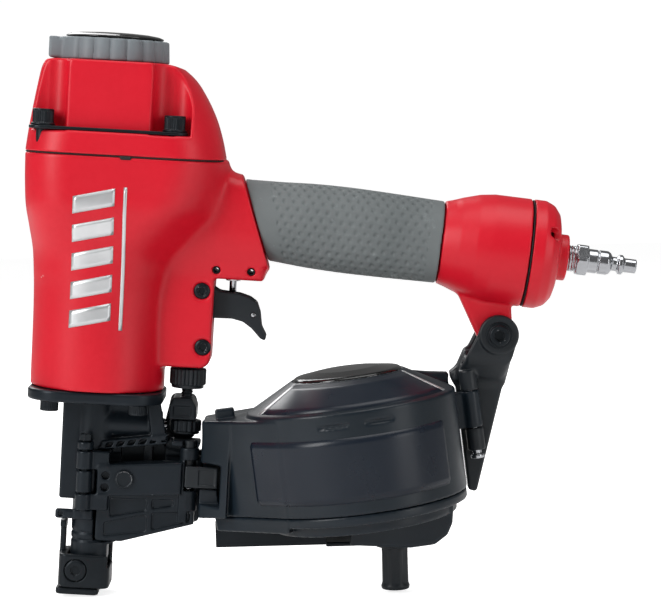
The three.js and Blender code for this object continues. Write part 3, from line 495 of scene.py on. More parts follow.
TAIL_PROFILE = [(0, 44), (17, 44), (19.3, 48), (22, 55), (24.4, 63), (25.4, 70), (25.4, 87.5), (0, 87.5)]
LUG = [(160, 160), (163.6, 156), (177, 130.4), (181.6, 126), (187, 124.4), (192, 127.6), (193, 134), (190.6, 154), (188, 165)]
ARM_EYE = (186.2, 133.2)
SIDE_PLATE = [
    (24, 110),
    (52.5, 110, 5),
    (52.5, 152.4, 1.7),
    (74.8, 152.4, 0.8),
    (74.8, 158.6, 1.5),
    (78.4, 161.2, 1.0),
    (67, 194, 10),
    (40, 200),
    (24, 190),
]
SCREWS = [(47, 146.1), (48.6, 119.8)]
ROLL_PINS = [(53.2, 156.3), (69.4, 156.3)]


def grip_section(L, half_height, half_width, power=2.6):
    """Superellipse across the handle."""
    X, Y, Z = L
    radius = (np.abs(Y / half_width) ** power + np.abs(Z / half_height) ** power) ** (1 / power)
    return (radius - 1) * np.minimum(half_height, half_width)


def housing(P):
    X, Y, Z = P
    d = trunk_outline(P, TRUNK_Z, *TRUNK)
    d = cap2(d, np.abs(Z - sum(BARREL_Z) / 2) - (BARREL_Z[1] - BARREL_Z[0]) / 2, 0.9)
    plate = prism(P, "y", rounded(SIDE_PLATE, 0), -13, 13, 1.6)
    d = smin(d, plate, 3.2)
    L = in_handle(P)
    x = L[0]
    root = grip_section(L, 18.2, 15.2, 3.0)
    root = smax(root, x - 50, 1)
    root = smax(root, -x - 80, 1)
    d = smin(d, root, 13)
    tail = revolve(L, "x", 0, 0, TAIL_PROFILE)
    tail = smax(tail, x - 87.5, 0.8)
    lug = prism(P, "y", rounded(LUG, 2.5), -7.3, 7.3, 1.6)
    d = smin(d, smin(tail, lug, 1.8), 2.5)
    # The core under the grip is slimmer than the root and tail.
    edge_front = x + 0.42 * L[2] + 40.3
    under_grip = np.maximum(-edge_front, x - 47.2)
    core = grip_section(L, 16, 13.6, 3.0)
    d = np.maximum(d, -np.maximum(under_grip, -core))
    d = cut(d, cyl(P, "z", 0, 0, 26.5, 90, 215), 0.8)
    d = cut(d, box(P, 37.6, 54, -6.3, 6.3, 131, 152.2, 1), 0.5)
    d = cut(d, cyl(P, "z", 60.9, 0, 7.4, 150, 174), 0.5)
    d = cut(d, cyl(P, "z", 42, 0, 9.3, 108, 117.2), 0.5)
    d = cut(d, cyl(P, "z", 42, 0, 4.6, 112, 131.6), 0.3)
    for sx, sz in SCREWS:
        cone = [(0, -16), (6.6, -16), (3.4, -11.2), (2.4, -10.6), (2.4, 15), (0, 15)]
        d = cut(d, revolve(P, "y", sx, sz, cone), 0.5)
    for px, pz in ROLL_PINS:
        d = cut(d, cyl(P, "y", px, pz, 1.95, -20, 20), 0.2)
    d = cut(d, cyl(P, "y", *ARM_EYE, 3.4, -10, 10), 0.4)
    return d


carve("housing_body", housing, (-41, -40, 97), (200, 40, 208), 0.62, "frame", red, ["housing"])

CAP_Z = (207.2, 250)
CAP_KNOTS = [207.2, 216, 227, 238, 245, 250]
BOLTS = [(-28.5, -29), (-28.5, 29), (31.5, -29), (31.5, 29)]


def head_cap(P):
    X, Y, Z = P
    d = trunk_outline(
        P,
        CAP_KNOTS,
        [-37.4, -36.5, -35, -33.3, -32, -30.6],
        [54.5, 52.4, 48.6, 42.6, 37.6, 33],
        [38, 37.2, 35.6, 33.8, 32.6, 31.6],
        [22, 22, 21, 20, 19, 18],
        [26, 26, 26, 25, 24, 22],
    )
    d = cap2(d, np.abs(Z - sum(CAP_Z) / 2) - (CAP_Z[1] - CAP_Z[0]) / 2, 0.5)
    d = smax(d, (Z - 250) * 0.8 + (np.abs(X) - 30) * 0.45, 3)
    for bx, by in BOLTS:
        side = 1 if by > 0 else -1
        inner = bx + 3.2 if bx < 0 else bx - 3.2
        near, far = sorted((by, by + side * 20))
        flute = np.minimum(cyl(P, "z", bx, by, 7.4, 217.5, 262), cyl(P, "z", inner, by, 7.4, 217.5, 262))
        flute = np.minimum(flute, box(P, min(bx, inner) - 7.4, max(bx, inner) + 7.4, near, far, 217.5, 262))
        d = cut(d, flute, 1.6)
    for side in (-1, 1):
        lean = 31.2 - (Z - 217.5) * 0.02
        panel = np.maximum(lean - side * Y, 217.5 - Z)
        panel = np.maximum(panel, np.abs(X - 1.5) - 30)
        d = cut(d, panel, 1.4)
    d = cut(d, cyl(P, "z", 0, 0, 27.5, 200, 232), 0.5)
    for k in range(4):
        a = (k + 0.5) * math.pi / 2
        d = cut(d, cyl(P, "z", 15 * math.cos(a), 15 * math.sin(a), 3, 230, 256), 0.3)
    return d


carve("head_cap_body", head_cap, (-41, -40, 206), (56, 40, 251), 0.5, "frame", red, ["head_cap"])


def gasket(P):
    X, Y, Z = P
    d = trunk_outline(P, [206, 208], [-37.25] * 2, [54.35] * 2, [37.85] * 2, [22] * 2, [26] * 2)
    tab = box(P, 8, 13, -38.3, -30, 205.4, 207.1, 0.3)
    d = cap2(d, np.abs(Z - 206.85) - 0.34, 0.1)
    return cut(np.minimum(d, tab), cyl(P, "z", 0, 0, 26.5, 200, 212), 0.1)


carve("head_gasket_ring", gasket, (-41, -40, 205), (56, 40, 208), 0.42, "frame", seal, ["head_gasket"])


def strap(side):
    def field(P):
        y = side * 29
        inner, outer = (30.3, 35.4) if side > 0 else (-35.4, -30.3)
        d = box(P, -28.5, 31.5, inner, outer, 217.5, 219.1, 0.4)
        for x in (-28.5, 31.5):
            d = np.minimum(d, cyl(P, "z", x, y, 6.4, 217.5, 219.1, 0.4))
            d = np.maximum(d, -cyl(P, "z", x, y, 3.2, 215, 222))
        return d

    return field


for side, label in ((-1, "left"), (1, "right")):
    lo = (-36, 22 if side > 0 else -37, 217)
    hi = (39, 37 if side > 0 else -22, 220)
    carve(f"strap_{label}", strap(side), lo, hi, 0.33, "frame", black_steel, [f"bolt_strap_{label}"])


def socket_head(P, radius, height, socket, knurl=0.0):
    """A socket head standing on z = 0, with a chamfered rim and a hexagon in its top."""
    X, Y, Z = P
    angle = np.arctan2(Y, X)
    rho = np.sqrt(X * X + Y * Y)
    rim = rho - radius
    if knurl:
        rim = rim + knurl * (0.5 + 0.5 * np.cos(angle * 30)) * (np.abs(Z - height * 0.5) < height * 0.36)
    d = cap2(rim, np.abs(Z - height / 2) - height / 2, 0.5)
    return cut(d, hexagon(P, socket, height * 0.4, height + 5), 0.2)


def move(P, x, y, z):
    return P[0] - x, P[1] - y, P[2] - z


for (bx, by), end in zip(BOLTS, ("front_left", "front_right", "rear_left", "rear_right")):

    def bolt(P, bx=bx, by=by):
        Q = move(P, bx, by, 219.1)
        d = socket_head(Q, 4.9, 7.5, 2.5, 0.35)
        washer = cyl(P, "z", bx, by, 5.5, 219.1, 220.2, 0.2)
        return np.minimum(np.minimum(d, washer), cyl(P, "z", bx, by, 3, 192, 220))

    lo, hi = (bx - 6, by - 6, 192), (bx + 6, by + 6, 227)
    carve(f"bolt_{end}", bolt, lo, hi, 0.25, "frame", black_steel, [f"cap_bolt_{end}"])

# ------------------------------------------------------------------ exhaust deflector


def deflector(P):
    X, Y, Z = P
    angle = np.arctan2(Y, X)
    rho = np.sqrt(X * X + Y * Y)
    ribs = 20
    wave = np.abs(np.sin(angle * ribs / 2))
    back = 1 / (1 + np.exp((np.abs(angle) - 2.3) * 40))
    outer = 26 - 0.06 * (Z - 250) - 1.7 * (1 - wave**0.6) * back
    ring = cap2(rho - outer, np.abs(Z - 255.3) - 5.0, 0.7)
    block = box(P, -29.4, -10, -12.5, 12.5, 250.3, 259.7, 1.4)
    lip = box(P, -29.4, -25, -12.5, 12.5, 258.2, 260.2, 0.8)
    d = smin(ring, np.minimum(block, lip), 1.5)
    hollow = cut(cyl(P, "z", 0, 0, 21.5, 245, 256.6), cyl(P, "z", 0, 0, 9, 254.3, 260), 0)
    d = cut(d, hollow, 0.3)
    d = cut(d, cyl(P, "z", 0, 0, 11.4, 245, 254.3), 0.3)
    d = cut(d, box(P, -35, -18, -9.5, 9.5, 252, 257.5, 0.8), 0.4)
    d = cut(d, cyl(P, "z", 0, 0, 4.1, 245, 265), 0.2)
    return cut(d, cyl(P, "z", 0, 0, 7, 257.4, 265), 0.2)


carve("deflector_ring", deflector, (-32, -27, 250), (27, 27, 261), 0.36, "deflector", grey_plastic, ["deflector"])


def deflector_disc(P):
    X, Y, Z = P
    profile = [(0, 260.6), (22.2, 260.6), (22.8, 261.0), (22.6, 261.5), (20.6, 262.3), (16, 262.95), (10, 263.3), (0, 263.48)]
    d = revolve(P, "z", 0, 0, profile)
    notch = box(P, -24, -21, -3, 3, 260, 262.2, 0.4)
    return cut(d, notch, 0.3)


carve("deflector_disc", deflector_disc, (-24, -24, 260), (24, 24, 264), 0.3, "deflector", glossy_black, ["deflector_cover"])

# ------------------------------------------------------------------ grip, tail and inlet


def grip(P):
    L = in_handle(P)
    X, Y, Z = L
    knots = [-44, -30, -15, 0, 20, 36, 47]
    height = along(X, knots, [18.0, 18.7, 19.7, 20.1, 19.9, 19.5, 19.2])
    width = along(X, knots, [15.7, 16.4, 16.9, 17.0, 17.2, 17.8, 19.2])
    d = grip_section(L, height, width, 2.5)
    front = -(X + 0.42 * Z + 39.6)
    d = smax(d, front, 0.8)
    d = smax(d, X - 46.6, 0.8)
    core = grip_section(L, 16.5, 14.2, 3.0)
    tail = revolve(L, "x", 0, 0, [(0, 44.2), (17.3, 44.2), (19.7, 48), (22.3, 55), (24.8, 63), (0, 63)])
    # Rows of dimples round the sleeve, staggered.
    angle = np.arctan2(Z / height, Y / width)
    pitch_x, rows = 4.6, 34
    row = angle * rows / (2 * math.pi)
    near = np.round(row)
    shift = 0.5 * pitch_x * (np.mod(near, 2))
    u = X - shift - np.round((X - shift) / pitch_x) * pitch_x
    radius = 17.5
    w = (row - near) * 2 * math.pi / rows * radius
    inside = (X > -30 - 0.3 * Z) & (X < 41)
    dimple = 1.4 - np.sqrt(u * u + w * w)
    depth = np.clip(dimple, 0, 1.2) * 0.6 * inside
    d = d + depth
    return np.maximum(np.maximum(d, -core), -tail)


carve("grip_sleeve_body", grip, (56, -20, 150), (160, 20, 204), 0.42, "frame", rubber, ["grip_sleeve"])


def end_cap(P):
    L = in_handle(P)
    profile = [(0, 88.7), (25.4, 88.7), (25.4, 94, 3), (23.6, 98.2, 4), (20, 101, 3), (16, 102, 2)]
    profile += [(10.8, 102.3, 0.8), (10.8, 106.8, 0.8), (0, 106.8)]
    d = revolve(L, "x", 0, 0, rounded(profile, 0))
    for k in range(3):
        a = 2 * math.pi * k / 3 - math.pi / 2
        y, z = 21.3 * math.cos(a), 21.3 * math.sin(a)
        d = cut(d, cyl(L, "x", y, z, 3.2, 96, 120, 0.3), 0.8)
    d = cut(d, cyl(L, "x", 0, 0, 6.3, 80, 115), 0.3)
    return cut(d, cyl(L, "x", 0, 0, 19, 80, 98), 0.3)


carve("end_cap_body", end_cap, (194, -27, 140), (222, 27, 200), 0.45, "frame", red, ["end_cap"])


def tail_gasket(P):
    L = in_handle(P)
    d = cyl(L, "x", 0, 0, 25.15, 87.8, 88.4, 0.1)
    return cut(d, cyl(L, "x", 0, 0, 21, 80, 95), 0.1)


carve("tail_gasket_ring", tail_gasket, (194, -27, 140), (204, 27, 200), 0.4, "frame", seal, ["tail_gasket"])


def air_plug(P):
    L = in_handle(P)
    X, Y, Z = L
    body = [(0, 98.6), (5.2, 98.6), (5.2, 111.2), (6.1, 111.4), (6.1, 116.4), (5.6, 116.8), (5.6, 126, 0.8)]
    body += [(4.9, 127.2), (3.3, 128.2, 0.5), (3.3, 130.4, 0.5), (4.6, 131.4, 0.3), (4.6, 133, 0.3)]
    body += [(3.3, 134, 0.5), (3.3, 139.3), (2.9, 139.7), (0, 139.7)]
    d = revolve(L, "x", 0, 0, rounded(body, 0))
    hexa = np.maximum(np.maximum(np.abs(Z), np.abs(Z * 0.5 + Y * 0.866)), np.abs(Z * 0.5 - Y * 0.866)) - 6.95
    rho = np.sqrt(Y * Y + Z * Z)
    hexa = np.maximum(hexa, rho - 7.75 + np.maximum(0, np.abs(X - 113.9) - 1.9) * 0.9)
    hexa = np.maximum(hexa, np.abs(X - 113.9) - 2.6)
    pitch = 1.35
    thread = np.abs(np.mod(X - np.arctan2(Z, Y) / (2 * math.pi) * pitch, pitch) - pitch / 2)
    threads = rho - 5.75 - 0.5 * (1 - thread * 2 / pitch)
    threads = np.maximum(threads, np.abs(X - 108.4) - 3.2)
    groove = np.abs(X - 121.5) - 0.35
    d = np.minimum(np.minimum(d, hexa), threads)
    d = cut(d, np.maximum(groove, 5.0 - rho), 0.2)
    return cut(d, cyl(L, "x", 0, 0, 2.2, 90, 150), 0.3)


carve("air_plug_body", air_plug, (206, -9, 157), (252, 9, 180), 0.24, "frame", chrome, ["air_plug"])

# ------------------------------------------------------------------ magazine
DRUM = (117, -15, 48.6)
GUIDE = (143, -15, 34)
SPLIT = 15  # plane between the magazine's body and its cover, in the drum's frame
DRUM_X = 11
DRUM_R = 48.8
FRONT_X, FRONT_NEAR, FRONT_FAR = -59, 2, 28
SKIRT = [(122, 34), (150, 34.4), (161, 36.6, 3), (166.6, 41.4, 4), (168.6, 47, 4), (168.6, 58), (122, 50)]
ARM_ROOT = [(142, 112.8), (155.4, 112.7), (164.6, 113), (164.6, 104), (142, 110)]
NECK = [(50.6, -7.2), (50.6, -13, 2.5), (64, -26), (64, -7.2)]
CROWN = [(0, 60), (25.4, 60), (25.4, 62.2, 0.6), (24.2, 63.1, 1.4), (14, 64.7, 6), (0, 65)]


def in_drum(P):
    return turn(P, "y", -10.5, DRUM)


def in_guide(P):
    return turn(P, "y", -4.7, GUIDE)


def tangent(y, side):
    """Bearing of the point where the flank from a front corner meets the drum's circle."""
    reach = math.hypot(DRUM_X - FRONT_X, y)
    return math.pi - math.asin(y / reach) - side * math.acos(DRUM_R / reach)


def on_circle(angle):
    return DRUM_X + DRUM_R * math.cos(angle), DRUM_R * math.sin(angle)


NEAR_TANGENT = tangent(FRONT_NEAR, -1)
FLANKS = [on_circle(NEAR_TANGENT), (FRONT_X, FRONT_NEAR, 3), (FRONT_X, FRONT_FAR, 3), on_circle(tangent(FRONT_FAR, 1))]


def drum_form(L, inset, bottom, top, crown, height, dome, soft):
    front = polygon(L[0], L[1], rounded(FLANKS, 0)) + inset
    lid = 48 - inset
    front = cap2(front, np.abs(L[2] - (bottom + lid) / 2) - (lid - bottom) / 2, soft)
    wall = DRUM_R - inset
    profile = [(0, bottom), (wall, bottom, soft), (wall, top, soft), (crown, height, 2 * soft), (0, height + dome)]
    return smin(front, revolve(L, "z", DRUM_X, 0, rounded(profile, 0)), soft)


# Bottom and top of the wall, radius and height of the crown, rise of its dome, and rounding.
SHELL = (0, 49.5, 26, 62, 2, 1.2)


def drum_inside(L):
    return drum_form(L, 2.5, 3, 47, 25, 59.5, 0, 0)


def drum_shell(L):
    d = cut(drum_form(L, 0, *SHELL), drum_inside(L), 0)
    # A seat for the crown's disc, and a groove round the foot of the wall.
    d = cut(d, cyl(L, "z", DRUM_X, 0, 25.8, 61.2, 66), 0.2)
    rho = np.sqrt((L[0] - DRUM_X) ** 2 + L[1] ** 2)
    groove = np.sqrt((rho - DRUM_R) ** 2 + (L[2] - 2.6) ** 2) - 0.7
    return cut(d, groove, 0.4)


def magazine_body(P):
    L, G = in_drum(P), in_guide(P)
    d = np.maximum(drum_shell(L), np.maximum(SPLIT + 0.2 - L[1], 2 - L[2]))
    d = smin(d, prism(P, "y", rounded(ARM_ROOT, 1), 1.2, 9, 0.8), 3)
    throat = cap2(polygon(L[0], L[1], rounded(FLANKS, 0)) + 0.2, np.abs(L[2] + 0.6) - 3.4, 0.8)
    for piece in (
        cap2(polygon(L[0], L[1], rounded(FLANKS, 0)) + 0.2, np.abs(L[2] - 1.5) - 1.5, 0.5),
        smax(throat, P[1] - 5.6, 0.4),
        cyl(L, "z", DRUM_X, 0, DRUM_R - 0.4, -1.5, 3, 0.7),
        cyl(L, "z", DRUM_X, 0, 43, -6.5, 0, 0.8),
        prism(P, "y", rounded(SKIRT, 0), -33, -25.6, 1.2),
        cyl(L, "z", DRUM_X, 0, 7, 1, 22, 0.5),
        box(P, 51.2, 62, 4.2, 7, 42.4, 74.5, 0.6),
        box(L, -78.5, -60, 27.4, 30, 14, 32, 0.6),
        box(L, -62, -50, 20, 30, 14, 32, 0.6),
        cyl(G, "z", 0, 0, 6.5, 2.8, 16, 0.4),
    ):
        d = smin(d, piece, 0.5)
    d = cut(d, cyl(L, "z", DRUM_X, 0, 4.4, 3.5, 30), 0.2)
    d = cut(d, box(L, -80, -50, 10.8, 19.2, 3, 45), 0.2)
    d = cut(d, box(G, -100, 32, 20.2, 23.8, -5, 7), 0.2)
    return cut(d, cyl(G, "z", 0, 0, 3.3, 0, 10), 0.2)


def magazine_cover(P):
    L = in_drum(P)
    X, Y, Z = L
    d = np.maximum(drum_shell(L), np.maximum(Y - SPLIT + 0.2, 3.3 - Z))
    d = cut(d, box(L, -80, -50, 10.8, 19, 2, 45), 0.2)
    neck = np.maximum(prism(P, "z", rounded(NECK, 0), 20, 110), box(L, -90, 0, -90, 90, 3.3, 47.6, 1.4))
    d = smin(d, neck, 1.6)
    for piece in (
        box(P, 51.2, 62, -7.4, -4.2, 42.4, 74.5, 0.6),
        box(L, -59, -55, 2.4, 10.7, 3.4, 45),
        cyl(L, "z", 67, 11, 4.2, 28.4, 45.7, 0.5),
        box(L, 57, 66, 8.6, 13.6, 28.4, 45.7, 0.6),
        box(L, -52.5, -43.5, 1, 5, 47, 53, 0.9),
    ):
        d = smin(d, piece, 0.8)
    # Room for the latch's tab, in the corner and through it.
    d = cut(d, box(P, 40, 60.4, -60, -12, 46.4, 66, 0.5), 0.3)
    d = cut(d, box(P, 40, 60.2, -60, 0, 53.2, 65.4, 0.4), 0.3)
    d = cut(d, cyl(L, "z", 67, 11, 2.3, 10, 60), 0.2)
    d = cut(d, drum_inside(L), 0)
    # Shallow slots under the shoulder of the wall.
    for bearing in (-11, 14):
        Q = turn(L, "z", bearing, (DRUM_X, 0, 0))
        d = cut(d, box(Q, -7, 7, -DRUM_R - 2, 0.9 - DRUM_R, 43, 45, 0.8), 0.5)
    return d


def crown(side):
    def field(P):
        L = in_drum(P)
        return np.maximum(revolve(L, "z", DRUM_X, 0, rounded(CROWN, 0)), side * (SPLIT - L[1]) + 0.2)

    return field


look("magazine_body", magazine_body, 0.68)
look("magazine_cover", magazine_cover, 0.56)
for node, side in (("magazine_body", 1), ("magazine_cover", -1)):
    look(node, crown(side), 0.5, glossy_black, "crown")


def from_drum(x, y, z):
    """Points of the drum's frame in the tool's."""
    c, s = math.cos(math.radians(10.5)), math.sin(math.radians(10.5))
    return DRUM[0] + c * x - s * z, DRUM[1] + y, DRUM[2] + s * x + c * z


def along_wall(s, out):
    """x and y at s millimetres along the near wall from its middle, on the arc or the flank in front of it."""
    start = 1.5 * math.pi - NEAR_TANGENT
    bearing = np.maximum(s / DRUM_R, -start)
    before = np.minimum(s + DRUM_R * start, 0)
    x = DRUM_X + (DRUM_R + out) * np.sin(bearing) + before * math.cos(start)
    return x, -(DRUM_R + out) * np.cos(bearing) - before * math.sin(start)


def wall_panel(first, last, low, high, corner):
    """A panel on the drum's wall, from first to last along it."""

    def place(u, v, out):
        s = first + u * (last - first)
        reach = (last - first) * np.minimum(u, 1 - u)
        inset = corner - np.sqrt(np.maximum(corner**2 - np.maximum(corner - reach, 0) ** 2, 0))
        z = low + inset + v * (high - low - 2 * inset)
        depth = drum_form((*along_wall(s, 0), z), 0, *SHELL)
        return from_drum(*along_wall(s, out - depth), z)

    return place


def cone_panel(first, last, low, high):
    """A panel on the cone; low and high run from 0 at the foot of the slope to 1 at the crown."""
    rise, run = 62 - 49.5, DRUM_R - 26
    length = math.hypot(rise, run)

    def place(u, v, out):
        bearing = np.radians(first + u * (last - first))
        w = low + v * (high - low)
        rho = DRUM_R - w * run + out * rise / length
        z = 49.5 + w * rise + out * run / length
        return from_drum(DRUM_X + rho * np.sin(bearing), -rho * np.cos(bearing), z)

    return place


panel_black = moulded("panel_black", (0.006, 0.01, 0.018), (0.008, 0.013, 0.022), 0.3, 200, 0.02)
patch("wall_panel", wall_panel(-58, 48, 9, 38.5, 2), 80, 10, "cover", panel_black)
patch("cone_panel", cone_panel(-62, 66, 0.1, 0.94), 70, 6, "cover", panel_black)
for name, first, last in (("front", -66, -62.2), ("rear", 66.2, 70)):
    patch(f"cone_panel_{name}", cone_panel(first, last, 0.1, 0.94), 5, 6, "cover", silver_print)


def hinge_pin(P):
    L = in_drum(P)
    head = cyl(L, "z", 67, 11, 3.2, 13.6, 15.6, 0.4)
    return np.minimum(cyl(L, "z", 67, 11, 2.1, 14, 56.4, 0.4), head)


look("cover_hinge_pin", hinge_pin, 0.32)

# ------------------------------------------------------------------ arm
ARM = [(171.6, 124), (169.2, 116.6, 3), (165, 113.4), (165.4, 111), (168.4, 106), (177.2, 58, 1.5)]
ARM += [(181.2, 57.2, 1.5), (193.2, 124)]
EYE_PLATE = [(195.5, 133.2), (190.2, 110), (168.6, 110), (169.6, 117, 3), (177, 134)]


def support_arm(P):
    L = in_drum(P)
    X, Y, Z = P
    eye = cyl(P, "y", *ARM_EYE, 9.3, -13.4, 13.4, 0.9)
    plates = prism(P, "y", rounded(EYE_PLATE, 0), -12.2, 12.2, 0.9)
    plates = smax(plates, (121 - Z) * 0.72 - (Y + 12.2) * 0.69, 3)
    plates = smax(plates, (118 - Z) * 0.4 + (Y - 12.2) * 0.9, 3)
    plates = cut(smin(plates, eye, 0.5), box(P, 160, 200, -7.7, 7.7, 121.8, 160, 0.8), 1.2)
    blade = prism(P, "y", rounded(ARM, 0), 0.8, 10, 1.2)
    d = smin(plates, blade, 4)
    for low, high in ((46, 55.6), (17.6, 28)):
        knuckle = cyl(L, "z", 67, 11, 4.2, low, high, 0.5)
        leaf = box(L, 64, 70, 11, 18, low, high, 0.6)
        d = smin(d, smin(knuckle, leaf, 0.6), 1.0)
    d = cut(d, cyl(P, "y", *ARM_EYE, 3.4, -20, 20), 0.3)
    return cut(d, cyl(L, "z", 67, 11, 2.3, 10, 60), 0.2)


look("support_arm", support_arm, 0.45)


def arm_bolt(P):
    X, Y, Z = P
    Q = (X - ARM_EYE[0], Z - ARM_EYE[1], -Y)
    profile = [(0, -15), (5, -15, 0.6), (5, -13.6), (3.1, -13.6), (3.1, 13.6), (6.2, 13.6), (6.2, 14.4, 0.3)]
    profile += [(4.8, 14.4), (4.8, 17.6, 0.8), (0, 17.6)]
    d = revolve(Q, "z", 0, 0, rounded(profile, 0))
    return cut(d, hexagon(Q, 2.4, 15, 20), 0.2)


look("arm_bolt", arm_bolt, 0.28)

# ------------------------------------------------------------------ shingle guide


WEB = [(-84.5, -4.3), (15.7, -4.3), (15.7, 6), (-63, 6), (-66, 8.6), (-84.5, 8.6)]


def shingle_guide(P):
    G = in_guide(P)
    web = prism(G, "y", WEB, 21, 23, 0.5)
    foot = box(G, -32, 15.7, -9, 22, 0, 2, 0.5)
    d = smin(web, foot, 1.2)
    return cut(d, box(G, -13.4, 13.4, -3.4, 3.4, -1, 3), 0.2)


def guide_knob(P):
    G = in_guide(P)
    X, Y, Z = G
    angle = np.arctan2(Y, X)
    profile = [(0, -22), (6.3, -22, 0.6), (6.7, -20.4, 0.4), (6.1, -18.8, 0.6), (5.9, -6), (6.2, -2.2), (8.9, -1.7, 0.4)]
    profile += [(8.9, -0.35, 0.3), (3, -0.35), (3, 9, 0.4), (0, 9)]
    d = revolve(G, "z", 0, 0, rounded(profile, 0))
    rho = np.sqrt(X * X + Y * Y)
    flute = 6.35 - 0.95 * np.abs(np.cos(angle * 4)) ** 3
    body = np.maximum(rho - flute, np.maximum(Z + 3, -19.4 - Z))
    return smin(d, body, 0.5)


look("shingle_guide", shingle_guide, 0.42)
look("guide_knob", guide_knob, 0.3)

# ------------------------------------------------------------------ trigger
TRIGGER = [(43, 138.4), (43, 148.6, 2), (47, 150.2, 3), (51, 148.6, 3), (55.2, 146.2, 4), (64.5, 145.4, 8)]
TRIGGER += [(69.5, 143.9, 5), (72.8, 141.6, 3), (74.5, 137, 5), (75.5, 130.5, 5), (77.9, 126.2, 2), (77.4, 123.8, 0.8)]
TRIGGER += [(75, 124.8, 3), (70.7, 129.3, 5), (66.5, 132.2, 5), (61.3, 133.4, 8), (50, 133.2, 3), (45, 134.6, 2)]
HOLLOW = [(30, 136), (54, 134.6), (62, 134.6), (67, 133.6), (71.2, 131), (73.2, 132.4), (72.4, 137), (70.9, 152), (30, 152)]
LEVER_PIN = (71.2, 135.6)


def trigger(P):
    d = prism(P, "y", rounded(TRIGGER, 0), -5.6, 5.6, 0.9)
    d = cut(d, prism(P, "y", HOLLOW, -4, 4, 0.3), 0.3)
    d = cut(d, cyl(P, "y", *SCREWS[0], 2.4, -7, 7), 0.2)
    return cut(d, cyl(P, "y", *LEVER_PIN, 1.2, -7, 7), 0.15)


look("trigger", trigger, 0.27)


def boss_screw(x, z):
    """A countersunk screw with a lobed socket."""

    def field(P):
        Q = (P[0] - x, P[2] - z, -P[1])
        profile = [(0, -12.6), (2.1, -12.6), (2.1, 10.8), (3.9, 10.8), (3.9, 12, 0.4), (2.9, 12.6, 0.4), (0, 12.6)]
        d = revolve(Q, "z", 0, 0, rounded(profile, 0))
        angle = np.arctan2(Q[1], Q[0])
        lobes = np.sqrt(Q[0] ** 2 + Q[1] ** 2) - 1.75 - 0.28 * np.cos(6 * angle)
        return cut(d, np.maximum(lobes, 11.4 - Q[2]), 0.15)

    return field


look("trigger_pivot_pin", boss_screw(*SCREWS[0]), 0.22)
look("boss_screw", boss_screw(*SCREWS[1]), 0.22)

# ------------------------------------------------------------------ contact element
ROD_X = 42


def knurled(P, radius, z0, z1, ribs, depth, r):
    """A disc on the contact rod's line with upright ribs round its edge."""
    X, Y, Z = P[0] - ROD_X, P[1], P[2]
    wave = np.abs(np.cos(np.arctan2(Y, X) * ribs / 2)) ** 0.7
    return cap2(np.sqrt(X * X + Y * Y) - radius + depth * (1 - wave), np.abs(Z - (z0 + z1) / 2) - (z1 - z0) / 2, r)


def depth_wheel(P):
    rim = cyl(P, "z", ROD_X, 0, 7.6, 99.4, 101.6, 0.5)
    return cut(np.minimum(knurled(P, 8.6, 101, 108.8, 24, 0.8, 0.7), rim), cyl(P, "z", ROD_X, 0, 3.3, 90, 106.8), 0.2)


def yoke_nut(P):
    flange = cyl(P, "z", ROD_X, 0, 6.6, 77.8, 79.4, 0.4)
    return cut(np.minimum(knurled(P, 7.4, 79, 84.3, 16, 0.7, 0.5), flange), cyl(P, "z", ROD_X, 0, 3.3, 70, 90), 0.2)


look("depth_wheel", depth_wheel, 0.27)
look("yoke_nut", yoke_nut, 0.26)
YOKE = [(34.2, 84.6), (47, 84.6), (47, 90.6), (44.6, 95), (36, 95), (34.2, 92)]
SIDE_ARM = [(34.2, 94.8), (46, 94.8), (46, 73.6), (36.5, 73.6), (9.5, 24), (9.5, 10), (-2, 10), (-2, 22), (4, 30), (31, 79)]


def contact_arm(P):
    pitch = 1.5
    X, Y, Z = P[0] - ROD_X, P[1], P[2]
    thread = np.abs(np.mod(Z - np.arctan2(Y, X) / (2 * math.pi) * pitch, pitch) - pitch / 2) * 2 / pitch
    stud = np.maximum(np.sqrt(X * X + Y * Y) - 2.3 - 0.55 * thread, np.abs(Z - 91.4) - 13)
    yoke = cut(prism(P, "y", rounded(YOKE, 0.8), -7, 14, 1.0), box(P, 30, 50, 8, 13, 80, 87), 0.3)
    groove = box(P, 36.2, 44.6, -9, -6.2, 86.2, 91.2, 0.6)
    arm = prism(P, "y", rounded(SIDE_ARM, 2.5), 13, 15.4, 0.6)
    return smin(smin(cut(yoke, groove, 0.4), arm, 1.2), stud, 0.3)


look("contact_arm", contact_arm, 0.4)


def pad(P, x0, x1, half, radius, z0, z1, r):
    """A slab with a rounded rectangle for its outline."""
    qx, qy = np.abs(P[0] - (x0 + x1) / 2) - (x1 - x0) / 2 + radius, np.abs(P[1]) - half + radius
    flat = np.sqrt(np.maximum(qx, 0) ** 2 + np.maximum(qy, 0) ** 2) + np.minimum(np.maximum(qx, qy), 0) - radius
    return cap2(flat, np.abs(P[2] - (z0 + z1) / 2) - (z1 - z0) / 2, r)


def contact_foot(P):
    d = pad(P, -13.8, 10.2, 12.4, 4, 3.4, 19.2, 0.9)
    horn = smin(box(P, -14.3, -11.6, -2, 2, 10, 34, 0.7), box(P, -14.3, -11.5, -5, 5, 30.4, 34, 0.9), 1.0)
    d = smin(d, horn, 1.6)
    d = cut(d, pad(P, -10, 8.6, 10.7, 2.5, 5.2, 30, 0), 0.5)
    d = cut(d, box(P, 2.4, 12, -10.7, 10.7, 13.4, 30), 0.5)
    d = cut(d, cyl(P, "z", 0, 0, 5.7, -2, 8), 0.4)
    d = cut(d, cyl(P, "y", -5.6, 11.5, 5.4, -13, -10.4), 0.3)
    return cut(d, cyl(P, "y", -5.6, 11.5, 2.4, -13, -8), 0.2)


def wear_pad(P):
    return cut(pad(P, -14.6, 5.4, 11.6, 2.5, 0, 3.1, 0.8), cyl(P, "z", 0, 0, 5.7, -2, 8), 0.4)


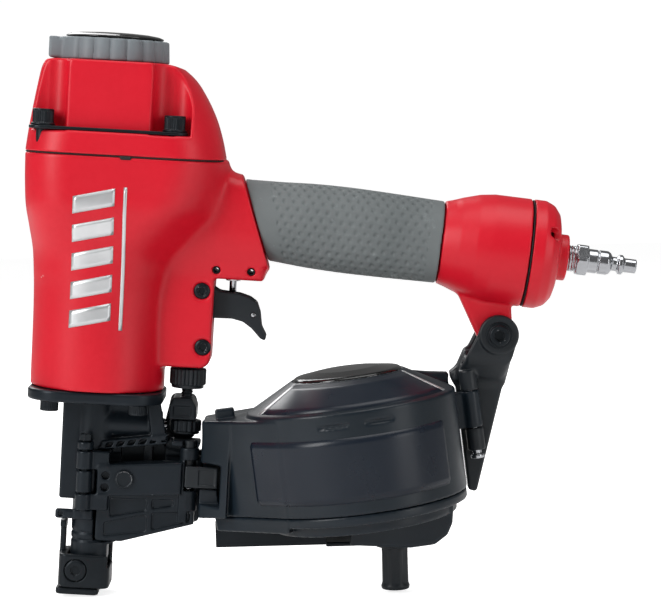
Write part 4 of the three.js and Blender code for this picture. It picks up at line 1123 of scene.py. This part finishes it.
def foot_screw(P):
    Q = (P[0] + 5.6, P[2] - 11.5, -P[1])
    profile = [(0, 9.2), (2.1, 9.2), (2.1, 10.6), (5.1, 10.6), (5.1, 12, 0.3), (4.3, 12.55, 0.4), (0, 12.55)]
    d = revolve(Q, "z", 0, 0, rounded(profile, 0))
    return cut(d, hexagon(Q, 2.1, 11.2, 14), 0.2)


look("contact_foot", contact_foot, 0.34)
look("wear_pad", wear_pad, 0.3)
look("foot_screw", foot_screw, 0.22)

# ------------------------------------------------------------------ nose
THROAT = [(6, 25.6), (16, 25.8, 3), (50.3, 35.8, 2), (50.3, 66, 1), (33, 70, 3), (20, 88), (6, 88)]
LADDER = [(2, 68.9), (34.3, 73.2), (34.3, 78), (4, 72.9)]
FLARE = [(0, 18), (8.2, 18), (8.2, 23.6), (13, 25.6), (0, 25.6)]
BRACE = [(24, 93), (30, 93), (34, 74.8), (27, 74)]
DOOR_PIN = (-3.5, -13)
LATCH = (45, -8)
NOSE_BOLTS = [(x, y) for x in (-20.5, 20.5) for y in (-20.2, 20.2)]


def nose(P):
    X, Y, Z = P
    d = pad(P, -31.5, 31.5, 29, 16, 92.4, 97.7, 1.1)
    tube = cyl(P, "z", -0.6, 0, 8.8, 15.4, 94, 0.6)
    d = smin(d, tube, 2)
    for piece in (
        box(P, -15.5, -7, -6.5, 6.5, 44.6, 94, 1.2),
        prism(P, "y", rounded(THROAT, 0), 2.2, 12, 0.9),
        cyl(P, "x", 0, 81, 7, 4, 31, 1.0),
        box(P, 4, 26, -5, 5, 84, 94, 1),
        prism(P, "y", BRACE, -9, -5, 0.7),
        prism(P, "y", FLARE, -6, 6, 0.8),
        box(P, 36.4, 49.6, -12, 3, 72.8, 75.2, 0.7),
        prism(P, "y", [(31, 60), (48.6, 60), (48.6, 75), (33, 75)], 2.4, 5, 0.6),
        cyl(P, "z", *DOOR_PIN, 3.7, 69.4, 73, 0.5),
        box(P, -6.5, -0.5, -13, -7, 69.4, 73, 0.6),
        cyl(P, "z", *DOOR_PIN, 3.7, 49.2, 59.4, 0.5),
        box(P, -5.9, -1.1, -12, -7, 49.2, 59.4, 0.6),
    ):
        d = smin(d, piece, 1.4)
    # The ladder over the nail strip: two rails and slanted rungs.
    ladder = prism(P, "y", LADDER, -9, 3, 0.5)
    for k in range(6):
        x = 7 + 5.2 * k
        z = 71.4 + (x - 7) * 0.147
        corners = [(x - 2.0, z - 1.4), (x + 1.2, z - 0.9), (x + 2.4, z + 1.5), (x - 0.8, z + 1.0)]
        slot = prism(P, "y", corners, -10, -5.6)
        ladder = cut(ladder, slot, 0.3)
    d = smin(d, ladder, 0.6)
    collar = smin(box(P, -8, 1, -11.5, -6, 35.6, 40.6, 0.8), box(P, -16.4, -8, -11.5, -8.3, 35.8, 40.4, 1.2), 0.8)
    d = smin(d, collar, 0.8)
    d = cut(d, cyl(P, "y", -13.6, 38.1, 1.3, -12, -9.6), 0.3)
    d = cut(d, cyl(P, "z", 0, 0, 5.4, 14, 100), 0.3)
    for z in (25.4, 29.2):
        ring = np.sqrt((np.sqrt((X + 0.6) ** 2 + Y * Y) - 9) ** 2 + (Z - z) ** 2) - 0.7
        d = cut(d, ring, 0.3)
    d = cut(d, box(P, 0, 60, -2.1, 2.1, 27, 66.4), 0.2)
    d = cut(d, box(P, 0, 60, -5.4, 5.4, 61.4, 66.4), 0.2)
    d = cut(d, box(P, 1.6, 20, -10, -2, 25.8, 68.4), 0.2)
    d = cut(d, box(P, 12, 33, 1, 7.4, 52, 84), 0.3)
    d = cut(d, box(P, 0, 11, 10.4, 13, 20, 29.8), 0.2)
    d = cut(d, cyl(P, "x", 0, 81, 5.1, 9, 40), 0.3)
    d = cut(d, cyl(P, "z", *DOOR_PIN, 1.9, 30, 80), 0.2)
    for x, y in NOSE_BOLTS:
        d = cut(d, cyl(P, "z", x, y, 1.9, 90, 100), 0.1)
    d = cut(d, cyl(P, "y", 43, 51, 2.2, 5, 14), 0.3)
    d = cut(d, cyl(P, "z", *LATCH, 3.3, 70, 80), 0.2)
    return cut(d, box(P, 41.7, 48.6, -13, -8, 70, 80), 0.2)


look("nose_body", nose, 0.46)
DOOR_BAR = [(2.6, 47.6, 1), (2.6, 62.4, 1.5), (42, 65.5), (42, 50.2)]
DOOR_PANEL = [(2.6, 26, 1.5), (15, 26.2, 3), (48.4, 36.1), (48.4, 46), (42, 52), (2.6, 50)]
POCKETS = [
    [(9, 37.6), (9, 46.6), (26.4, 46.8), (26, 41.4)],
    [(28.6, 42.3), (28.6, 46.8), (38.6, 47.4), (38.6, 44.4)],
    [(6.6, 28.4), (6.6, 34.8), (26.4, 39.8), (26.4, 31.2)],
    [(28.8, 32.2), (28.8, 40.4), (46.4, 41.8), (46.4, 37.4)],
]


def feed_door(P):
    bar = prism(P, "y", rounded(DOOR_BAR, 0), -14.4, -2.5, 0.9)
    panel = prism(P, "y", rounded(DOOR_PANEL, 0), -10.4, -2.5, 0.8)
    for pocket in POCKETS:
        panel = cut(panel, prism(P, "y", rounded(pocket, 1.2), -12, -9.2), 0.7)
    d = smin(bar, panel, 0.8)
    for low, high in ((60.2, 68.6), (41, 48.4)):
        knuckle = cyl(P, "z", *DOOR_PIN, 3.9, low, high, 0.5)
        d = smin(d, smin(knuckle, box(P, -3.5, 8, -14.2, -9.4, low, high, 0.7), 1.0), 1.4)
    barrel = cyl(P, "z", *LATCH, 4.4, 42.4, 72.1, 0.6)
    d = smin(d, smin(barrel, box(P, 41, 45, -12, -4.4, 37, 65.4, 0.5), 0.8), 0.8)
    d = cut(d, cyl(P, "z", 0, 0, 5.4, 20, 70), 0.2)
    d = cut(d, cyl(P, "z", *DOOR_PIN, 1.9, 30, 80), 0.2)
    for x, z in ((6.6, 57.5), (6.4, 52)):
        d = cut(d, cyl(P, "y", x, z, 1.9, -16, -11), 0.4)
    d = cut(d, cyl(P, "y", 15.4, 56.4, 2.3, -16, 0), 0.2)
    d = cut(d, box(P, 11, 20, -6, 0, 53, 60), 0.2)
    d = cut(d, cyl(P, "z", *LATCH, 2.9, 47.5, 80), 0.2)
    return cut(d, box(P, 43.2, 54, -14, -8, 52, 66.5, 0.3), 0.3)


look("feed_door", feed_door, 0.34)


def door_latch(P):
    pin = cyl(P, "z", *LATCH, 2.6, 57.4, 75.4, 0.5)
    tab = cut(box(P, 43.6, 59, -14.6, -12.7, 54, 64, 0.7), box(P, 50, 57.6, -16, -14.1, 55.4, 62.6, 0.4), 0.3)
    return smin(smin(pin, box(P, 43.6, 46.4, -14, -8, 58.4, 62, 0.4), 0.5), tab, 0.6)


def door_pin(P):
    Q = move(P, *DOOR_PIN, 73.4)
    nut = np.maximum(hexagon(Q, 2.6, 0, 3.2), cyl(Q, "z", 0, 0, 2.95, 0, 3.2, 0.5))
    return np.minimum(nut, cyl(Q, "z", 0, 0, 1.7, -33.4, 1, 0.4))


def pawl_pin(P):
    head = cyl(P, "y", 15.4, 56.4, 4.3, -16, -14.5, 0.6)
    head = cut(head, cyl(P, "y", 15.4, 56.4, 3.3, -17, -15.7, 0.1), 0.3)
    return np.minimum(head, cyl(P, "y", 15.4, 56.4, 2.1, -15.4, -7))


look("door_latch", door_latch, 0.27)
look("door_hinge_pin", door_pin, 0.24)
look("pawl_pin", pawl_pin, 0.22)
for x, y in NOSE_BOLTS:
    end, side = "front" if x < 0 else "rear", "left" if y < 0 else "right"

    def nose_bolt(P, x=x, y=y):
        Q = (P[0] - x, P[1] - y, 92.3 - P[2])
        return np.minimum(socket_head(Q, 4.3, 4.8, 2.1, 0.3), cyl(Q, "z", 0, 0, 1.6, -15, 1))

    look(f"nose_bolt_{end}_{side}", nose_bolt, 0.24)

# ------------------------------------------------------------------ marks on the body


def on_skin(x0, x1, z0, height, slant):
    """A slanted bar laid on the housing's near side."""

    def place(u, v, out):
        x = x0 + (x1 - x0) * u
        z = z0 + slant * u + height * v
        y = np.full(x.shape, -40.0)
        for _ in range(24):
            y = y + trunk_outline((x, y, z), TRUNK_Z, *TRUNK)
        return x, y - out, z

    return place


patch("mark_stripe", on_skin(10.4, 12, 127, 66, 0), 3, 24, "frame", silver_print)
for k in range(5):
    patch(f"mark_bar_{k}", on_skin(-12.5, 6.5, 127 + 13.2 * k, 8, 4.5), 12, 5, "frame", silver_print)

# ------------------------------------------------------------------ the rest, with their rims bevelled
stood_for = {n for obj in built.values() for n in obj.get("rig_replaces", [])}
for node, obj in frame["nodes"].items():
    obj.data.materials.clear()
    obj.data.materials.append(FINISH[slot_of[node]])
    if node not in stood_for:
        refined(node)

# Each spring gets a mesh of its own. The table gives its joint, the height of its held end, and the joint's travel.
SPRINGS = {
    "head_valve_spring": ("head_valve_lift", 231.8, 5),
    "contact_spring": ("contact_push", 131.4, 8),
    "latch_spring": ("latch_pull", 47.8, 6),
}
for node, (joint, held, travel) in SPRINGS.items():
    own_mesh(built[f"{node}_fine"])

# ------------------------------------------------------------------ floor, lights and camera


def flat_stage():
    mesh = bpy.data.meshes.new("floor")
    slope = math.tan(math.radians(4.6))
    size = 3000
    corners = [(-size, -size), (size, -size), (size, size), (-size, size)]
    mesh.from_pydata([((x + OX) * MM, y * MM, (-0.6 + slope * (x - 6)) * MM) for x, y in corners], [], [(0, 1, 2, 3)])
    obj = bpy.data.objects.new("floor", mesh)
    bpy.context.scene.collection.objects.link(obj)
    m = Nodes("floor_paper")
    tone = m.mix(m.span(m.noise(3, 2), 0.3, 0.7), (0.86, 0.86, 0.86), (0.9, 0.9, 0.9))
    m.shader.inputs["Emission Color"].default_value = (1, 1, 1, 1)
    seen = m.add("ShaderNodeLightPath").outputs["Is Camera Ray"]
    m.link(m.span(seen, 0, 1, 0.12, 0.8), m.shader.inputs["Emission Strength"])
    obj.data.materials.append(m.set(color=tone, roughness=0.75))


flat_stage()


def soft_light(name, place, target, size, power, color=(1, 1, 1)):
    data = bpy.data.lights.new(name, "AREA")
    data.shape = "RECTANGLE"
    data.size, data.size_y = size
    data.energy = power
    data.color = color
    obj = bpy.data.objects.new(name, data)
    bpy.context.scene.collection.objects.link(obj)
    place, target = Vector(place), Vector(target)
    obj.matrix_world = Matrix.Translation(place) @ (target - place).to_track_quat("-Z", "Y").to_matrix().to_4x4()


aim = (0, 0, 0.14)
soft_light("key", (-1.1, -0.9, 0.7), aim, (0.5, 1.0), 15)
soft_light("fill", (1.2, -0.9, 0.5), aim, (0.5, 1.0), 5)
soft_light("rim", (-0.6, 1.0, 0.9), aim, (0.8, 0.8), 9)
soft_light("top", (0.1, -0.2, 1.4), aim, (1.2, 0.8), 9)

world = bpy.data.worlds.new("studio")
bpy.context.scene.world = world
world.use_nodes = True
background = world.node_tree.nodes["Background"]
background.inputs["Color"].default_value = (1, 1, 1, 1)
seen = world.node_tree.nodes.new("ShaderNodeLightPath")
strength = world.node_tree.nodes.new("ShaderNodeMapRange")
strength.inputs["To Min"].default_value = 0.18
strength.inputs["To Max"].default_value = 1.02
world.node_tree.links.new(seen.outputs["Is Camera Ray"], strength.inputs["Value"])
world.node_tree.links.new(strength.outputs["Result"], background.inputs["Strength"])
bpy.context.scene.view_settings.view_transform = "Standard"

camera_data = bpy.data.cameras.new("camera")
camera = bpy.data.objects.new("camera", camera_data)
bpy.context.scene.collection.objects.link(camera)
bpy.context.scene.camera = camera
camera_data.sensor_width = 36
camera_data.lens = 133.6
camera_data.clip_end = 20
eye = Vector(((97.4 + OX) * MM, (-1150 + OY) * MM, 228.5 * MM))
target = Vector(((107.2 + OX) * MM, OY * MM, 140.6 * MM))
CAMERA_ROLL = math.radians(3.2)
look = (target - eye).to_track_quat("-Z", "Y").to_matrix().to_4x4()
camera.matrix_world = Matrix.Translation(eye) @ look @ Matrix.Rotation(CAMERA_ROLL, 4, "Z")
